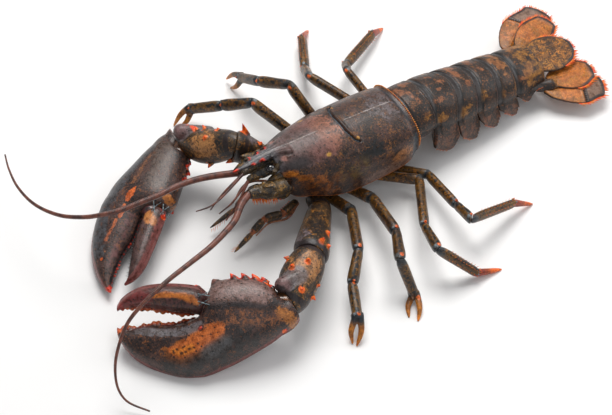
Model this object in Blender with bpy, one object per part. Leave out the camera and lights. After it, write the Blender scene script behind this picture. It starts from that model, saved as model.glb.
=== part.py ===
"""American lobster at life size, as a still model resting on its eight feet and two claws.

The body frame has the head towards -Y, the animal's left side towards +X, the floor at z = 0
and y = 0 at the rear edge of the carapace. Sizes are millimetres until a mesh is made.
"""

import math
import random

import bmesh
import bpy
from mathutils import Matrix, Vector

MM = 0.001
GAP = 0.3
UP = Vector((0, 0, 1))
HOME = Vector((3.05, 48.6, 0))

# Carapace: heights and half widths along the body, each a list of (y, value)
CARAPACE_FRONT = -97
SHELL_STATIONS = (-97, -92, -86, -79, -71, -63, -55, -48.1, -46.5, -44.9, -38, -30, -22, -14, -8, -4, -1)
RIDGE = ((-97, 57.4), (-75, 56.8), (-47, 54.9), (-15, 52.2), (0, 50))
HALF_WIDTH = ((-97, 12), (-85, 18), (-75, 21.5), (-57, 25.5), (-38, 27), (-15, 26.6), (0, 25))
WAIST = ((-97, 44), (-75, 39), (-50, 36), (0, 36))
HEM = (
    (-97, 26), (-92, 22), (-86, 20.5), (-80, 21), (-75, 20), (-57, 16.2), (-38, 16), (-15, 16.5), (-6, 20),
    (-1, 27.5),
)
HEM_HALF = ((-97, 11), (-85, 15.5), (-75, 19.5), (-57, 23.5), (-38, 25), (0, 25))
LEAN = ((-97, 0.2), (-75, 0.06), (-55, 0), (0, 0))
SHELL_WALL = 2.4
ROOF_ABOVE_HEM = 9
GROOVE_Y = -46.5
GROOVE_DEPTH = 1.2
GROOVE_REACH = 0.42
SHELL_RUNS = ((12, 13, 14, 15, 16, 17, 18), (19, 20, 0, 1, 2, 3, 4))

# Rostrum: (y, half width, height of the top, thickness)
ROSTRUM = (
    (-84, 8.5, 57, 5), (-92, 6.2, 58, 5), (-99, 4.6, 58, 4.4), (-107, 3.4, 57, 3.6),
    (-114, 2, 55.8, 2.6),
)
ROSTRUM_TIP = (0, -123.5, 55.3)
# Spines on both sides: root and tip of each, for the left side
FRONT_SPINES = (
    ((3.9, -94.5, 57), (5.3, -99, 58.4), 1.5),
    ((3.3, -100, 56.6), (4.8, -104.3, 57.8), 1.4),
    ((2.4, -106.2, 56), (4, -110.6, 57.8), 1.3),
    ((8, -84.5, 54.5), (8.4, -89.6, 56.2), 1.5),
    ((9.6, -93, 48.5), (10.8, -100.5, 49.2), 1.5),
)

# Thorax under the carapace: (y, height of the belly, half width of the belly)
BELLY = ((-92, 25), (-82, 14), (-72, 7), (-55, 5.5), (-25, 5.5), (-8, 10))
BELLY_HALF = ((-92, 4), (-82, 6), (-72, 7), (-8, 7))
SIDE_X = 11.5
SIDE_TOP = 17.5

# Abdomen: front and rear edges of its six segments, and its sizes along the body
TAIL_SEAMS = (-0.7, 17, 40, 56, 72, 87, 111)
TAIL_MIDDLE = ((0, 34.3), (17, 33), (40, 28.5), (56, 25.5), (72, 23), (87, 20.5), (111, 18.5))
TAIL_RISE = ((0, 15.5), (17, 15.2), (40, 15), (56, 14.5), (72, 14), (87, 13.5), (111, 11.5))
TAIL_HALF = ((0, 20.4), (17, 20.6), (40, 21.8), (56, 21), (72, 20.5), (87, 19), (111, 16.5))
TAIL_BELLY_DROP = 6
TAIL_SWEEP = ((0, 0), (17, -1), (40, -7.5), (56, -6.5), (72, -5), (87, -3), (111, -1))
TAIL_ROLL = math.radians(5)
TAIL_DRIFT = -2.5
FRONT_TUCK = 0.955
ARCH_POINTS = 11
LAPPET_RUNS = ((10, 11, 12, 13, 14), (15, 16, 17, 18, 0))
# Side lappets: lowest edge along each segment as (share, height), how far out and forward it reaches
LAPPET_LOW = (
    ((0, 30), (0.5, 29.5), (1, 33.5)),
    ((0, 20), (0.5, 12), (0.8, 11.5), (1, 20)),
    ((0, 16.5), (0.85, 9), (1, 19)),
    ((0, 16.5), (0.85, 8.8), (1, 18)),
    ((0, 16.5), (0.88, 8.4), (1, 16)),
    ((0, 17.5), (0.35, 11.4), (0.5, 18), (1, 17)),
)
LAPPET_HALF = (20.8, 26.5, 26.5, 25.5, 24, 21)
LAPPET_BACK = (0, -4.5, 2, 3.5, 3.5, 3)
LAPPET_WALL = 2.2

# Tail fan: base, tip, and widths of its plates as (share, right edge, left edge), tilt about their length
FAN_PLATES = {
    "telson": (
        (-1.2, 111.8, 21.5), (-2.6, 143.2, 19.5), 3.2, 5,
        ((0, -11, 11), (0.12, -13, 13), (0.35, -15.2, 15), (0.6, -14.5, 14), (0.8, -11.8, 12),
         (0.93, -8, 8), (1, -4, 4)),
    ),
    "uropod_inner_left": (
        (13.5, 112.3, 15.2), (20, 145.2, 13.4), 2, 5,
        ((0, -3, 3), (0.15, -7.2, 7.8), (0.45, -11.8, 12.2), (0.7, -12, 12.2), (0.9, -8.5, 8.5),
         (1, -3.5, 3.5)),
    ),
    "uropod_inner_right": (
        (-17, 112.3, 17.8), (-32, 145.5, 17.8), 2, 6,
        ((0, -3, 3), (0.15, -7.5, 6), (0.45, -10.5, 9.5), (0.7, -10, 12), (0.9, -7, 10.5), (1, -3.5, 7)),
    ),
    "uropod_outer_left": (
        (17, 107, 12.3), (33.9, 144.6, 10), 2, 5,
        ((0, -3, 3), (0.12, -5, 8), (0.45, -9.5, 13.5), (0.66, -10.5, 14), (0.85, -9, 10.5),
         (1, -4.5, 4.5)),
    ),
    "uropod_outer_right": (
        (-20, 107, 13.4), (-45, 147.5, 15.6), 2, 6,
        ((0, -3, 3), (0.12, -10, 5), (0.45, -15.2, 9), (0.7, -13, 12.8), (0.88, -8.5, 13.8),
         (1, -4.5, 8.5)),
    ),
}
PLATE_SECTION = (
    (-1, 0), (-0.85, 0.5), (0, 0.62), (0.85, 0.5), (1, 0), (0.85, -0.5), (0, -0.5), (-0.85, -0.5),
)
# Swimmerets under segments 2 to 5: distance from the midline, blade length, half width, thickness
SWIMMERET_X = 9
SWIMMERET_LENGTH = (19, 17.5, 16, 14.5)
SWIMMERET_HALF = 3.4
SWIMMERET_THICK = 0.7
MAXILLIPED_TEETH = 6

# Walking legs: joints from hip to tip, thickness of each segment
LEG_JOINTS = {
    "leg2_left": (
        (12, -63, 9), (36.5, -60, 14.5), (69, -77, 20.5), (84, -91.5, 14), (106, -102.5, 12.5),
        (112.8, -110.3, 0)),
    "leg3_left": (
        (12, -49.5, 9), (35.5, -43.5, 15), (71.5, -51, 23.5), (93.5, -63.5, 28), (105, -60, 3.5),
        (115.3, -71.1, 0)),
    "leg4_left": (
        (12, -32, 9), (37.5, -9, 13.5), (75, -32, 20), (98, -38.5, 25.5), (112.5, -18.5, 4.5),
        (116, -1.5, 0)),
    "leg5_left": (
        (11.5, -19, 9), (36, -1, 12), (70, -4, 17.5), (88, -6, 23), (83, 32, 9), (84.5, 47, 0)),
    "leg2_right": (
        (-12, -62.5, 9), (-35.5, -53.5, 13.5), (-63, -70.5, 31), (-78.5, -84, 22.5),
        (-96, -98, 12), (-99, -110, 0)),
    "leg3_right": (
        (-12, -49, 9), (-33, -36, 12), (-56, -46.5, 40), (-78, -55.5, 29.5), (-100.5, -56.5, 14.5),
        (-108.4, -60.4, 0)),
    "leg4_right": (
        (-12, -33, 9), (-30, -4, 14.5), (-69, -22.5, 23.5), (-87.5, -14, 10), (-115.5, 2, 8),
        (-126.5, 14, 0)),
    "leg5_right": (
        (-11.5, -21, 9), (-26.5, 4.5, 13), (-59.5, 1, 24), (-73, 9.5, 13.5), (-92.5, 45, 8), (-100, 59, 0)),
}
# Legs 2 and 3 end in small pincers: tip of their movable finger, beside the fixed one that stands
PINCER_TIPS = {
    "leg2_left": (115.6, -109.4, 0),
    "leg3_left": (120.4, -68.1, 0),
    "leg2_right": (-95.6, -107.6, 0),
    "leg3_right": (-115, -59.5, 2.5),
}
PINCER_RADII = (2.3, 2.2, 1.8, 0.8)
PINCER_APART = 1.7
PINCER_BOW = 1.6
LEG_SIZE = {"leg2": 1.0, "leg3": 1.0, "leg4": 0.9, "leg5": 0.82}

# Claws: wrist, tip and the direction across the palm towards the movable finger
CRUSHER_WRIST = Vector((88.2, -132.4, 29.2))
CRUSHER_TIP = Vector((34.2, -225.4, 15.2))
CRUSHER_ACROSS = Vector((-31, 27, 32))
CUTTER_WRIST = Vector((-62, -123, 25))
CUTTER_TIP = Vector((4, -214.5, 6))
CUTTER_ACROSS = Vector((32.7, 27.1, 10))
# Palm with fixed finger: (along, outer edge, inner edge, half thickness)
CRUSHER_PALM = (
    (4, -9, 4, 7), (8, -14, 5, 9.2), (13.5, -17.8, 9.5, 11.5), (18, -20.5, 14.5, 13.3),
    (29, -25.5, 18, 15.5), (40, -30, 18.8, 16.5), (47, -32.3, 18, 16.5), (51.4, -33.6, 14.5, 15.8),
    (52.2, -34, 2.4, 15.8), (55.5, -34.8, -0.8, 15.8), (61, -36, -1.6, 15.5), (74, -35.2, -4.2, 12.5),
    (88, -29, -3, 9.5), (99, -21.5, -4, 7), (105.5, -13.5, -3.5, 4.5), (108.5, -7, -1.5, 2),
)
CRUSHER_THUMB = (
    (53.2, 4.5, 11.5, 5), (55.5, 1, 14.2, 7.6), (58.5, -0.2, 16, 9), (64, 1.2, 17.6, 9.2),
    (73, 3, 19.2, 8.5), (82, 6, 20, 7.6), (91, 8.2, 19.6, 6.5), (99, 9.4, 17, 5),
    (104.5, 8.8, 13.5, 3.2), (107.3, 7.4, 9.8, 1.4),
)
CUTTER_PALM = (
    (2, -12.5, 1.5, 7), (7, -16.8, 6, 9.4), (15, -20.8, 10.6, 11.2), (28, -25.5, 12.6, 12),
    (39, -29.5, 14, 12.5), (46.5, -31, 15.2, 12.5), (50.4, -31.4, 12, 12), (51.2, -31.4, 0.2, 12),
    (55, -31.5, -2, 11.8), (60, -31.6, -2.6, 11.5), (74, -29.8, -1.5, 9.5), (88, -25, -3.2, 7.5),
    (100, -17.5, -2.8, 5.5), (110, -8, -1, 3), (114.5, -1.5, 1.5, 1.2),
)
CUTTER_THUMB = (
    (52.2, 2.4, 10, 4.5), (55, -0.4, 11.8, 6), (62, -0.6, 12.8, 6.6), (72, 0.6, 13.6, 6.4),
    (82, 2.2, 14.3, 6), (92, 4.8, 14.6, 5), (99, 6.8, 13.4, 3.8), (104, 8, 11, 2.4), (107.8, 7, 8, 1),
)
WRIST_BLEND = 8
# Spines on the claws: (along, turn round the section from its inner edge, height, root radius)
CRUSHER_PALM_SPINES = (
    (36, -8, 3.4, 2.1), (29.5, -8, 3.6, 2.1), (23.5, -4, 3.6, 2), (18, -8, 3.6, 2), (14.5, -8, 2.6, 1.7),
    (47.5, -8, 2.6, 3.2), (53.5, -62, 2, 1.4), (9, 200, 1.5, 1.6),
)
CRUSHER_THUMB_SPINES = ((58.5, 10, 2.4, 1.8),)
CUTTER_PALM_SPINES = (
    (9.5, -20, 2, 1.5), (12.5, -15, 2.2, 1.5), (16.5, 5, 2.4, 1.5), (20.5, -8, 3.6, 1.9), (25.5, 0, 3, 1.8),
    (46, -40, 3, 2.2), (6, 170, 1.8, 1.6),
)
CUTTER_THUMB_SPINES = ((56, 18, 2, 1.6),)
SPINE_LEAN = 0.55
# Biting edges: first tooth, last tooth, count, height, root radius, roundness of the tip
CRUSHER_TEETH = (62, 104, 7, 2.4, 2.7, 0.72)
CUTTER_TEETH = (58, 111, 15, 1.9, 1.3, 0.3)
CUTTER_THUMB_TEETH = (59, 103, 12, 1.4, 1.1, 0.3)
BITE_CLEARANCE = 0.5
# Arms: (share of the length, half side, half up) along each of their three segments
ARM_LEFT_SIZES = {
    "ischium": ((0, 5.0, 5.2), (0.5, 5.8, 5.8), (1, 6.2, 5.6)),
    "merus": (
        (0, 6.4, 6), (0.15, 7.8, 8.2), (0.45, 9, 9.8), (0.75, 10.4, 11.2), (0.92, 10.8, 11.6),
        (1, 9.4, 9.8)),
    "carpus": (
        (0, 9, 9.4), (0.15, 10.8, 11.6), (0.45, 12, 12.4), (0.75, 11.2, 11.4), (0.9, 9.4, 9.6),
        (1, 7.4, 7.6)),
}
ARM_RIGHT_SIZES = {
    "ischium": ((0, 5.0, 5.2), (0.5, 5.6, 5.6), (1, 6.0, 5.4)),
    "merus": ((0, 6, 5.8), (0.2, 7, 7.6), (0.5, 8, 9), (0.78, 9, 10), (0.93, 9.2, 10.2), (1, 7.8, 8.6)),
    "carpus": (
        (0, 7.6, 8.2), (0.15, 9.4, 10.4), (0.45, 10.6, 11.6), (0.75, 9.8, 10.4), (0.9, 8.4, 8.8),
        (1, 6.8, 7.2)),
}
ARM_LEFT = ((12, -73, 12), (23, -74.5, 14), (64, -108.5, 31), (84.1, -137.3, 28.4))
ARM_RIGHT = ((-12, -73, 12), (-24.5, -80, 15.5), (-28.5, -104.5, 42.5), (-58, -126, 25.3))
# Spines on the arms: (share of the segment, turn round it, height, root radius, forward lean)
ARM_LEFT_SPINES = {
    "merus": ((0.94, 131, 4.2, 2.1, 0.2), (0.9, 163, 2.6, 1.6, 0.5), (0.66, 156, 2, 1.7, 0.5)),
    "carpus": (
        (0.3, 116, 2.8, 1.7, 0.5), (0.5, 82, 3.2, 1.8, 0.5), (0.82, 136, 2.6, 1.6, 0.5),
        (0.72, 196, 3.6, 1.8, 0.6), (0.5, 187, 2, 1.4, 0.5), (0.3, 46, 4, 1.8, 0.5),
    ),
}
ARM_RIGHT_SPINES = {
    "merus": ((0.94, 48, 9.5, 2.3, 1.5), (0.84, 228, 5, 1.9, 0.9), (0.6, 70, 2.4, 1.6, 0.5)),
    "carpus": (
        (0.34, 92, 2.8, 1.7, 0.5), (0.2, 52, 2.8, 1.6, 0.5), (0.46, 47, 4.4, 1.8, 0.6),
        (0.62, 47, 3.6, 1.7, 0.6), (0.78, 47, 2.8, 1.6, 0.6), (0.42, 196, 4.2, 2, 0.6),
    ),
}
# Smooth lobe at the inner corner of each wrist: its root and end as (along, across, face) of the claw, radius
KNUCKLE_LEFT = ((-1, 15.5, 0), (8, 11.4, -3.5), 4.8)
KNUCKLE_RIGHT = ((-2, 16, 7), (-9, -3, 10), 5)

# Feelers: routes from their base outwards, each point a place on the smooth curve
FLAGELLUM_LEFT = (
    (11.5, -119, 43.5), (18, -128, 46.5), (29, -139.5, 49.5), (36.5, -152.5, 52), (42, -164.5, 54),
    (46.5, -178, 56),
    (51.5, -199, 56), (54.5, -215, 52), (57, -228.5, 44), (63, -239.5, 32), (68, -244.5, 22),
    (74, -246.5, 13),
    (80.5, -244.5, 7), (90.5, -236, 3),
)
FLAGELLUM_RIGHT = (
    (-8.5, -115.5, 41.8), (-9, -133, 49), (-9, -145.5, 53), (-8, -158.5, 56), (-7, -171, 57),
    (-8, -183, 57),
    (-10.5, -194, 55), (-15, -204, 53), (-21.5, -213, 50), (-34, -223.5, 46), (-53.5, -230.5, 41),
    (-75.5, -231.5, 36),
    (-96.5, -228, 31), (-113.5, -223, 26),
)
FLAGELLUM_THICK = (2.1, 0.55)
PEDUNCLE_RADII = (5.4, 5.4, 4.2, 3.0)
# Pointed scale beside each antenna: root, tip, half width, thickness
SCALE_ROOT = (12.6, -97.5, 43)
SCALE_TIP = (15.3, -108.5, 47)
SCALE_HALF = 2.6
SCALE_THICK = 1.5
# Comb of stiff bristles below the antenna's base: shares of its length, count, height
COMB_SPAN = (0.3, 0.85)
COMB_COUNT = 7
COMB_HEIGHT = 3.6
EYE_ROOT = Vector((5.9, -95.4, 52.2))
EYE_CENTRE = Vector((8.2, -100.8, 53.7))
EYE_RADIUS = 3.2


def through(knots, t):
    """Value at t of the smooth curve through (t, value) knots."""
    if t <= knots[0][0]:
        return knots[0][1]
    if t >= knots[-1][0]:
        return knots[-1][1]
    i = max(k for k in range(len(knots) - 1) if knots[k][0] <= t)
    (start, low), (stop, high) = knots[i], knots[i + 1]
    before, after = knots[max(i - 1, 0)], knots[min(i + 2, len(knots) - 1)]
    leave = (high - before[1]) / (stop - before[0])
    arrive = (after[1] - low) / (after[0] - start)
    span = stop - start
    s = (t - start) / span
    return (
        (2 * s**3 - 3 * s**2 + 1) * low
        + (s**3 - 2 * s**2 + s) * span * leave
        + (3 * s**2 - 2 * s**3) * high
        + (s**3 - s**2) * span * arrive
    )


def spread(low, high, count):
    """Evenly spaced values from low to high, both included."""
    return [low + (high - low) * k / (count - 1) for k in range(count)]


def smooth_route(points, count):
    """Evenly spaced places on the smooth curve through the points."""
    points = [Vector(p) for p in points]
    at = [0.0]
    for near, far in zip(points, points[1:]):
        at.append(at[-1] + (far - near).length)
    return [through(list(zip(at, points)), t) for t in spread(0, at[-1], count)]


def paint(name, colour, roughness):
    """A plain shell finish."""
    material = bpy.data.materials.new(name)
    material.use_nodes = True
    shader = material.node_tree.nodes["Principled BSDF"]
    shader.inputs["Base Color"].default_value = (*colour, 1)
    shader.inputs["Roughness"].default_value = roughness
    return material


def skin(rings, wings=()):
    """A closed solid through rings of equal point count; a ring of one point is a tip. Wings are
    runs of point numbers that close an end as faces of their own, outside its middle."""
    body = bmesh.new()
    loops = [[body.verts.new(Vector(p) * MM) for p in ring] for ring in rings]
    for near, far in zip(loops, loops[1:]):
        count = max(len(near), len(far))
        for i in range(count):
            j = (i + 1) % count
            corners = [near[i % len(near)], near[j % len(near)], far[j % len(far)], far[i % len(far)]]
            body.faces.new(list(dict.fromkeys(corners)))
    for loop in (loops[0], loops[-1]):
        if len(loop) > 1:
            for wing in wings:
                body.faces.new([loop[i] for i in wing])
            apart = {i for wing in wings for i in wing[1:-1]}
            rim = [corner for i, corner in enumerate(loop) if i not in apart]
            middle = body.verts.new(sum((v.co for v in rim), Vector()) / len(rim))
            for i, corner in enumerate(rim):
                body.faces.new((corner, rim[(i + 1) % len(rim)], middle))
    bmesh.ops.recalc_face_normals(body, faces=body.faces)
    mesh = bpy.data.meshes.new("skin")
    body.to_mesh(mesh)
    body.free()
    return bpy.data.objects.new("piece", mesh)


def oval(centre, side, up, half_side, half_up, count, square=1.0):
    """A ring of points round an oval; square under 1 makes it boxier."""
    ring = []
    for k in range(count):
        turn = 2 * math.pi * (k + 0.5) / count
        across, rise = math.cos(turn), math.sin(turn)
        across = math.copysign(abs(across) ** square, across)
        rise = math.copysign(abs(rise) ** square, rise)
        ring.append(centre + side * half_side * across + up * half_up * rise)
    return ring


def slide_to_plane(ring, axis, point, normal):
    """The ring's points moved along axis onto the plane."""
    return [p + axis * ((point - p).dot(normal) / axis.dot(normal)) for p in ring]


def keep_largest(mesh):
    """Drops every loose surface of the mesh but the largest."""
    body = bmesh.new()
    body.from_mesh(mesh)
    left = set(body.verts)
    islands = []
    while left:
        stack = [left.pop()]
        island = set(stack)
        while stack:
            for edge in stack.pop().link_edges:
                for vert in edge.verts:
                    if vert not in island:
                        island.add(vert)
                        stack.append(vert)
        left -= island
        islands.append(island)
    islands.sort(key=len, reverse=True)
    for island in islands[1:]:
        bmesh.ops.delete(body, geom=list(island), context="VERTS")
    body.to_mesh(mesh)
    body.free()


def finish(name, body, extras=(), material=None):
    """Names the body, fuses the extras to it and hangs it on the lobster."""
    body.name = name
    body.data.name = name
    LOBSTER.objects.link(body)
    if extras:
        group = bpy.data.collections.new(name + "_extras")
        bpy.context.scene.collection.children.link(group)
        for extra in extras:
            group.objects.link(extra)
        join = body.modifiers.new("join", "BOOLEAN")
        join.operation = "UNION"
        join.operand_type = "COLLECTION"
        join.collection = group
        join.solver = "EXACT"
        graph = bpy.context.evaluated_depsgraph_get()
        joined = bpy.data.meshes.new_from_object(body.evaluated_get(graph))
        body.modifiers.clear()
        body.data = joined
        keep_largest(joined)
        for extra in list(group.objects):
            bpy.data.objects.remove(extra)
        bpy.data.collections.remove(group)
    body.data.materials.clear()
    body.data.materials.append(material)
    body.data.shade_smooth()
    body.data.set_sharp_from_angle(angle=math.radians(35))
    body.parent = STAND
    return body


def spike(base, tip, radius, sides=5, sink=1.2):
    """A cone from a root sunk under base to its tip."""
    base, tip = Vector(base), Vector(tip)
    way = (tip - base).normalized()
    base = base - way * sink
    side = way.orthogonal().normalized()
    return skin([oval(base, side, way.cross(side), radius, radius, sides), [tip]])


def knob(base, tip, radius, shoulder, sides=6, sink=1.5):
    """A rounded bump: it keeps its shoulder share of the radius until close to its tip."""
    base, tip = Vector(base), Vector(tip)
    way = (tip - base).normalized()
    side = way.orthogonal().normalized()
    up = way.cross(side)
    root = oval(base - way * sink, side, up, radius, radius, sides)
    crown = oval(base.lerp(tip, 0.65), side, up, radius * shoulder, radius * shoulder, sides)
    return skin([root, crown, [tip]])


def spot(centre, side, up, half_side, half_up, turn):
    """A point at this turn round an oval section, and the way out of the shell there."""
    turn = math.radians(turn)
    place = centre + side * half_side * math.cos(turn) + up * half_up * math.sin(turn)
    outward = side * math.cos(turn) / half_side + up * math.sin(turn) / half_up
    return place, outward.normalized()


def carapace_point(y, q):
    """Outside of the carapace: q is 0 on the ridge and 1 or -1 at the hem."""
    ridge, waist, hem = through(RIDGE, y), through(WAIST, y), through(HEM, y)
    half, hem_half = through(HALF_WIDTH, y), through(HEM_HALF, y)
    share = abs(q)
    if share < 0.62:
        turn = share / 0.62 * math.pi / 2
        x = half * math.sin(turn)
        z = waist + (ridge - waist) * math.cos(turn)
    else:
        s = (share - 0.62) / 0.38
        x = half + (hem_half - half) * s * s
        z = waist + (hem - waist) * s
    return Vector((math.copysign(x, q), y + through(LEAN, y) * (ridge - z), z))


def make_carapace():
    rings = []
    for y in SHELL_STATIONS:
        ring = []
        for q in spread(-1, 1, 17):
            p = carapace_point(y, q)
            if y == GROOVE_Y and abs(q) < GROOVE_REACH:
                p = p - Vector((p.x, 0, p.z - through(WAIST, y) + 10)).normalized() * GROOVE_DEPTH
            ring.append(p)
        hem, lag = through(HEM, y), through(LEAN, y)
        inside, roof = through(HEM_HALF, y) - SHELL_WALL, hem + ROOF_ABOVE_HEM
        for x, z in ((inside, hem), (inside - 2.2, roof), (2.2 - inside, roof), (-inside, hem)):
            ring.append(Vector((x, y + lag * (through(RIDGE, y) - z), z)))
        rings.append(ring)
    beak = []
    for y, half, top, thick in ROSTRUM:
        under = half * 0.75
        section = ((-half, top), (0, top + 0.3), (half, top), (under, top - thick), (-under, top - thick))
        beak.append([Vector((x, y, z)) for x, z in section])
    beak.append([Vector(ROSTRUM_TIP)])
    extras = [skin(beak)]
    for root, tip, radius in FRONT_SPINES:
        for sign in (1, -1):
            mirrored = Vector((sign, 1, 1))
            extras.append(spike(mirrored * Vector(root), mirrored * Vector(tip), radius))
    finish("carapace", skin(rings, SHELL_RUNS), extras, SHELL)


def make_thorax():
    rings = []
    for y in SHELL_STATIONS[1:-2]:
        low, half = through(BELLY, y), through(BELLY_HALF, y)
        lag = through(LEAN, y)
        roof = through(HEM, y) + ROOF_ABOVE_HEM - GAP * 1.5
        shoulder = through(HEM_HALF, y) - SHELL_WALL - 3.2
        side = min(SIDE_X, shoulder)
        side_top = max(SIDE_TOP, low + 2)
        side_top = min(side_top, roof - 2)
        outline = [(half, low), (side, low + 2.5), (side, side_top), (shoulder, roof)]
        outline += [(-x, z) for x, z in reversed(outline)]
        rings.append([Vector((x, y + lag * (through(RIDGE, y) - z), z)) for x, z in outline])
    finish("thorax", skin(rings), material=UNDERSIDE)


def make_eye(name, mirror):
    root, centre = EYE_ROOT.copy(), EYE_CENTRE.copy()
    axis = (centre - root).normalized()
    side = axis.cross(UP).normalized()
    up = side.cross(axis)
    long = (centre - root).length
    profile = ((0, 2.1), (0.45, 2.0), (0.62, 2.9), (1.0, EYE_RADIUS), (1.3, 2.6), (1.48, 1.2))
    rings = [oval(root + axis * long * s, side, up, r, r, 10) for s, r in profile]
    front = Vector((0, -1, -LEAN[0][1])).normalized()
    rings[0] = slide_to_plane(rings[0], axis, front_plane(), front)
    rings.append([root + axis * long * 1.53])
    finish(name, skin(flip(rings, mirror)), material=CORNEA)


def front_plane():
    """A point just clear of the carapace's slanting front face."""
    return Vector((0, CARAPACE_FRONT - GAP, RIDGE[0][1]))


def flip(rings, mirror):
    """The rings seen in a mirror on the body's midplane, for the right side."""
    if not mirror:
        return rings
    return [[Vector((-p.x, p.y, p.z)) for p in ring] for ring in rings]


def frames(joints):
    """For each segment its axis and a sideways direction, carried round the bends without twist."""
    axes = [(b - a).normalized() for a, b in zip(joints, joints[1:])]
    side = axes[0].cross(UP).normalized()
    sides = [side]
    for near, far in zip(axes, axes[1:]):
        sides.append(near.rotation_difference(far) @ sides[-1])
    return axes, sides


def tilt(ring, axis, normal, share):
    """Leans a ring towards the plane with this normal through its middle, in part or whole."""
    middle = sum(ring, Vector()) / len(ring)
    return [p + axis * ((middle - p).dot(normal) / axis.dot(normal) * share) for p in ring]


def segment_rings(joints, axes, sides, k, profile, count):
    """Rings of segment k, leaning more and more towards the planes that halve the joints' bends."""
    a, b = joints[k], joints[k + 1]
    up = sides[k].cross(axes[k])
    rings = [oval(a.lerp(b, s), sides[k], up, w, h, count) for s, w, h in profile]
    for i, (s, _, _) in enumerate(profile):
        if k and s < 0.5:
            rings[i] = tilt(rings[i], axes[k], (axes[k - 1] + axes[k]).normalized(), 1 - 2 * s)
        if k < len(axes) - 1 and s > 0.5:
            rings[i] = tilt(rings[i], axes[k], (axes[k] + axes[k + 1]).normalized(), 2 * s - 1)
    if k:
        normal = (axes[k - 1] + axes[k]).normalized()
        rings[0] = slide_to_plane(rings[0], axes[k], a + normal * GAP / 2, normal)
    if k < len(axes) - 1:
        normal = (axes[k] + axes[k + 1]).normalized()
        rings[-1] = slide_to_plane(rings[-1], axes[k], b - normal * GAP / 2, normal)
    return rings


def make_leg(name):
    joints = [Vector(p) for p in LEG_JOINTS[name]]
    size = LEG_SIZE[name[:4]]
    axes, sides = frames(joints)
    hip = Vector((math.copysign(1, joints[0].x), 0, 0))

    def part(k, profile):
        return segment_rings(joints, axes, sides, k, [(s, w * size, h * size) for s, w, h in profile], 8)

    ischium = part(0, ((0, 3.2, 3.2), (0.3, 3.6, 3.4), (0.65, 3.6, 3.8), (1, 3.3, 4.3)))
    ischium[0] = slide_to_plane(ischium[0], axes[0], Vector((hip.x * (SIDE_X + GAP), 0, 0)), hip)
    merus = part(1, ((0, 3.3, 4.3), (0.25, 3.5, 5.0), (0.7, 3.5, 5.2), (1, 3.0, 4.2)))
    carpus = part(2, ((0, 3.0, 4.0), (0.35, 3.3, 4.3), (0.75, 3.7, 4.7), (1, 3.0, 3.8)))
    palm = part(3, ((0, 2.8, 3.7), (0.3, 3.4, 4.4), (0.8, 3.2, 4.2), (1, 2.8, 3.6)))
    finish(name + "_thigh", skin(ischium), [skin(merus_root(merus, axes[1]))], LEG)
    finish(name + "_knee", skin(carpus), material=LEG)
    if name in PINCER_TIPS:
        finish(name + "_foot", skin(lift(palm)), pincer(joints, axes[3], Vector(PINCER_TIPS[name])), LEG)
        return
    finger = part(4, ((0, 2.8, 3.6), (0.15, 2.5, 3.1), (0.7, 1.7, 1.9), (1, 0.8, 0.8)))
    finger[-1] = [Vector((p.x, p.y, 0)) for p in finger[-1]]
    finish(name + "_foot", skin(lift(palm + finger)), material=LEG)


def pincer(joints, axis, moving_tip):
    """The two fingers of a small pincer, rooted side by side in the end of the palm."""
    knuckle, standing_tip = joints[4], joints[5]
    across = moving_tip - standing_tip
    across = (across - axis * across.dot(axis)).normalized()
    fingers = []
    for tip, side in ((standing_tip, -across), (moving_tip, across)):
        root = knuckle - axis * 2.5 + side * PINCER_APART
        start = knuckle + side * PINCER_APART
        middle = start.lerp(tip, 0.5) + side * PINCER_BOW
        rings = lift(tube([root, start, middle, tip], PINCER_RADII, 6))
        if tip.z == 0:
            rings[-1] = [Vector((p.x, p.y, 0)) for p in rings[-1]]
        fingers.append(skin(rings))
    return fingers


def merus_root(rings, axis):
    """Starts the second length a little inside the first, so that the two fuse."""
    rings[0] = [p - axis * 1.5 for p in rings[0]]
    return rings


def lift(rings):
    """Keeps every point on or above the floor."""
    return [[Vector((p.x, p.y, max(p.z, 0))) for p in ring] for ring in rings]


def segment_spot(points, axes, sides, k, profile, share, turn):
    """The middle of a segment's section, a point of its surface and the way out there."""
    centre = points[k].lerp(points[k + 1], share)
    half_side = through([(s, w) for s, w, _ in profile], share)
    half_up = through([(s, h) for s, _, h in profile], share)
    return centre, *spot(centre, sides[k], sides[k].cross(axes[k]), half_side, half_up, turn)


def make_arm(name, joints, claw, sizes, spines, knuckle):
    """Ischium, merus and carpus; each profile row is (share of the length, half side, half up)."""
    wrist, tip, _ = claw
    points = [Vector(p) for p in joints]
    points.append(points[-1] + tip - wrist)
    axes, sides = frames(points)
    root = Vector((math.copysign(SIDE_X + GAP, points[0].x), 0, 0))
    for k, part in enumerate(("ischium", "merus", "carpus")):
        rings = segment_rings(points, axes, sides, k, sizes[part], 12)
        if k == 0:
            rings[0] = slide_to_plane(rings[0], axes[0], root, Vector((1, 0, 0)))
        extras = []
        for share, turn, height, radius, lean in spines.get(part, ()):
            _, place, outward = segment_spot(points, axes, sides, k, sizes[part], share, turn)
            way = (outward + axes[k] * lean).normalized()
            extras.append(spike(place, place + way * height, radius))
        if part == "carpus":
            root, end, radius = knuckle
            extras.append(lobe(claw_place(claw, *root), claw_place(claw, *end), radius))
        finish(f"{name}_{part}", skin(rings), extras, ARM)
    return (axes[2] + axes[3]).normalized()


def lobe(root, end, radius, sides=8):
    """A thick finger with a round end."""
    axis = (end - root).normalized()
    side = axis.orthogonal().normalized()
    up = axis.cross(side)
    rings = [oval(root, side, up, radius * 0.8, radius * 0.8, sides)]
    for lean in (0, 50):
        lean = math.radians(lean)
        size = radius * math.cos(lean)
        rings.append(oval(end + axis * radius * math.sin(lean), side, up, size, size, sides))
    rings.append([end + axis * radius])
    return skin(rings)


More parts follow.
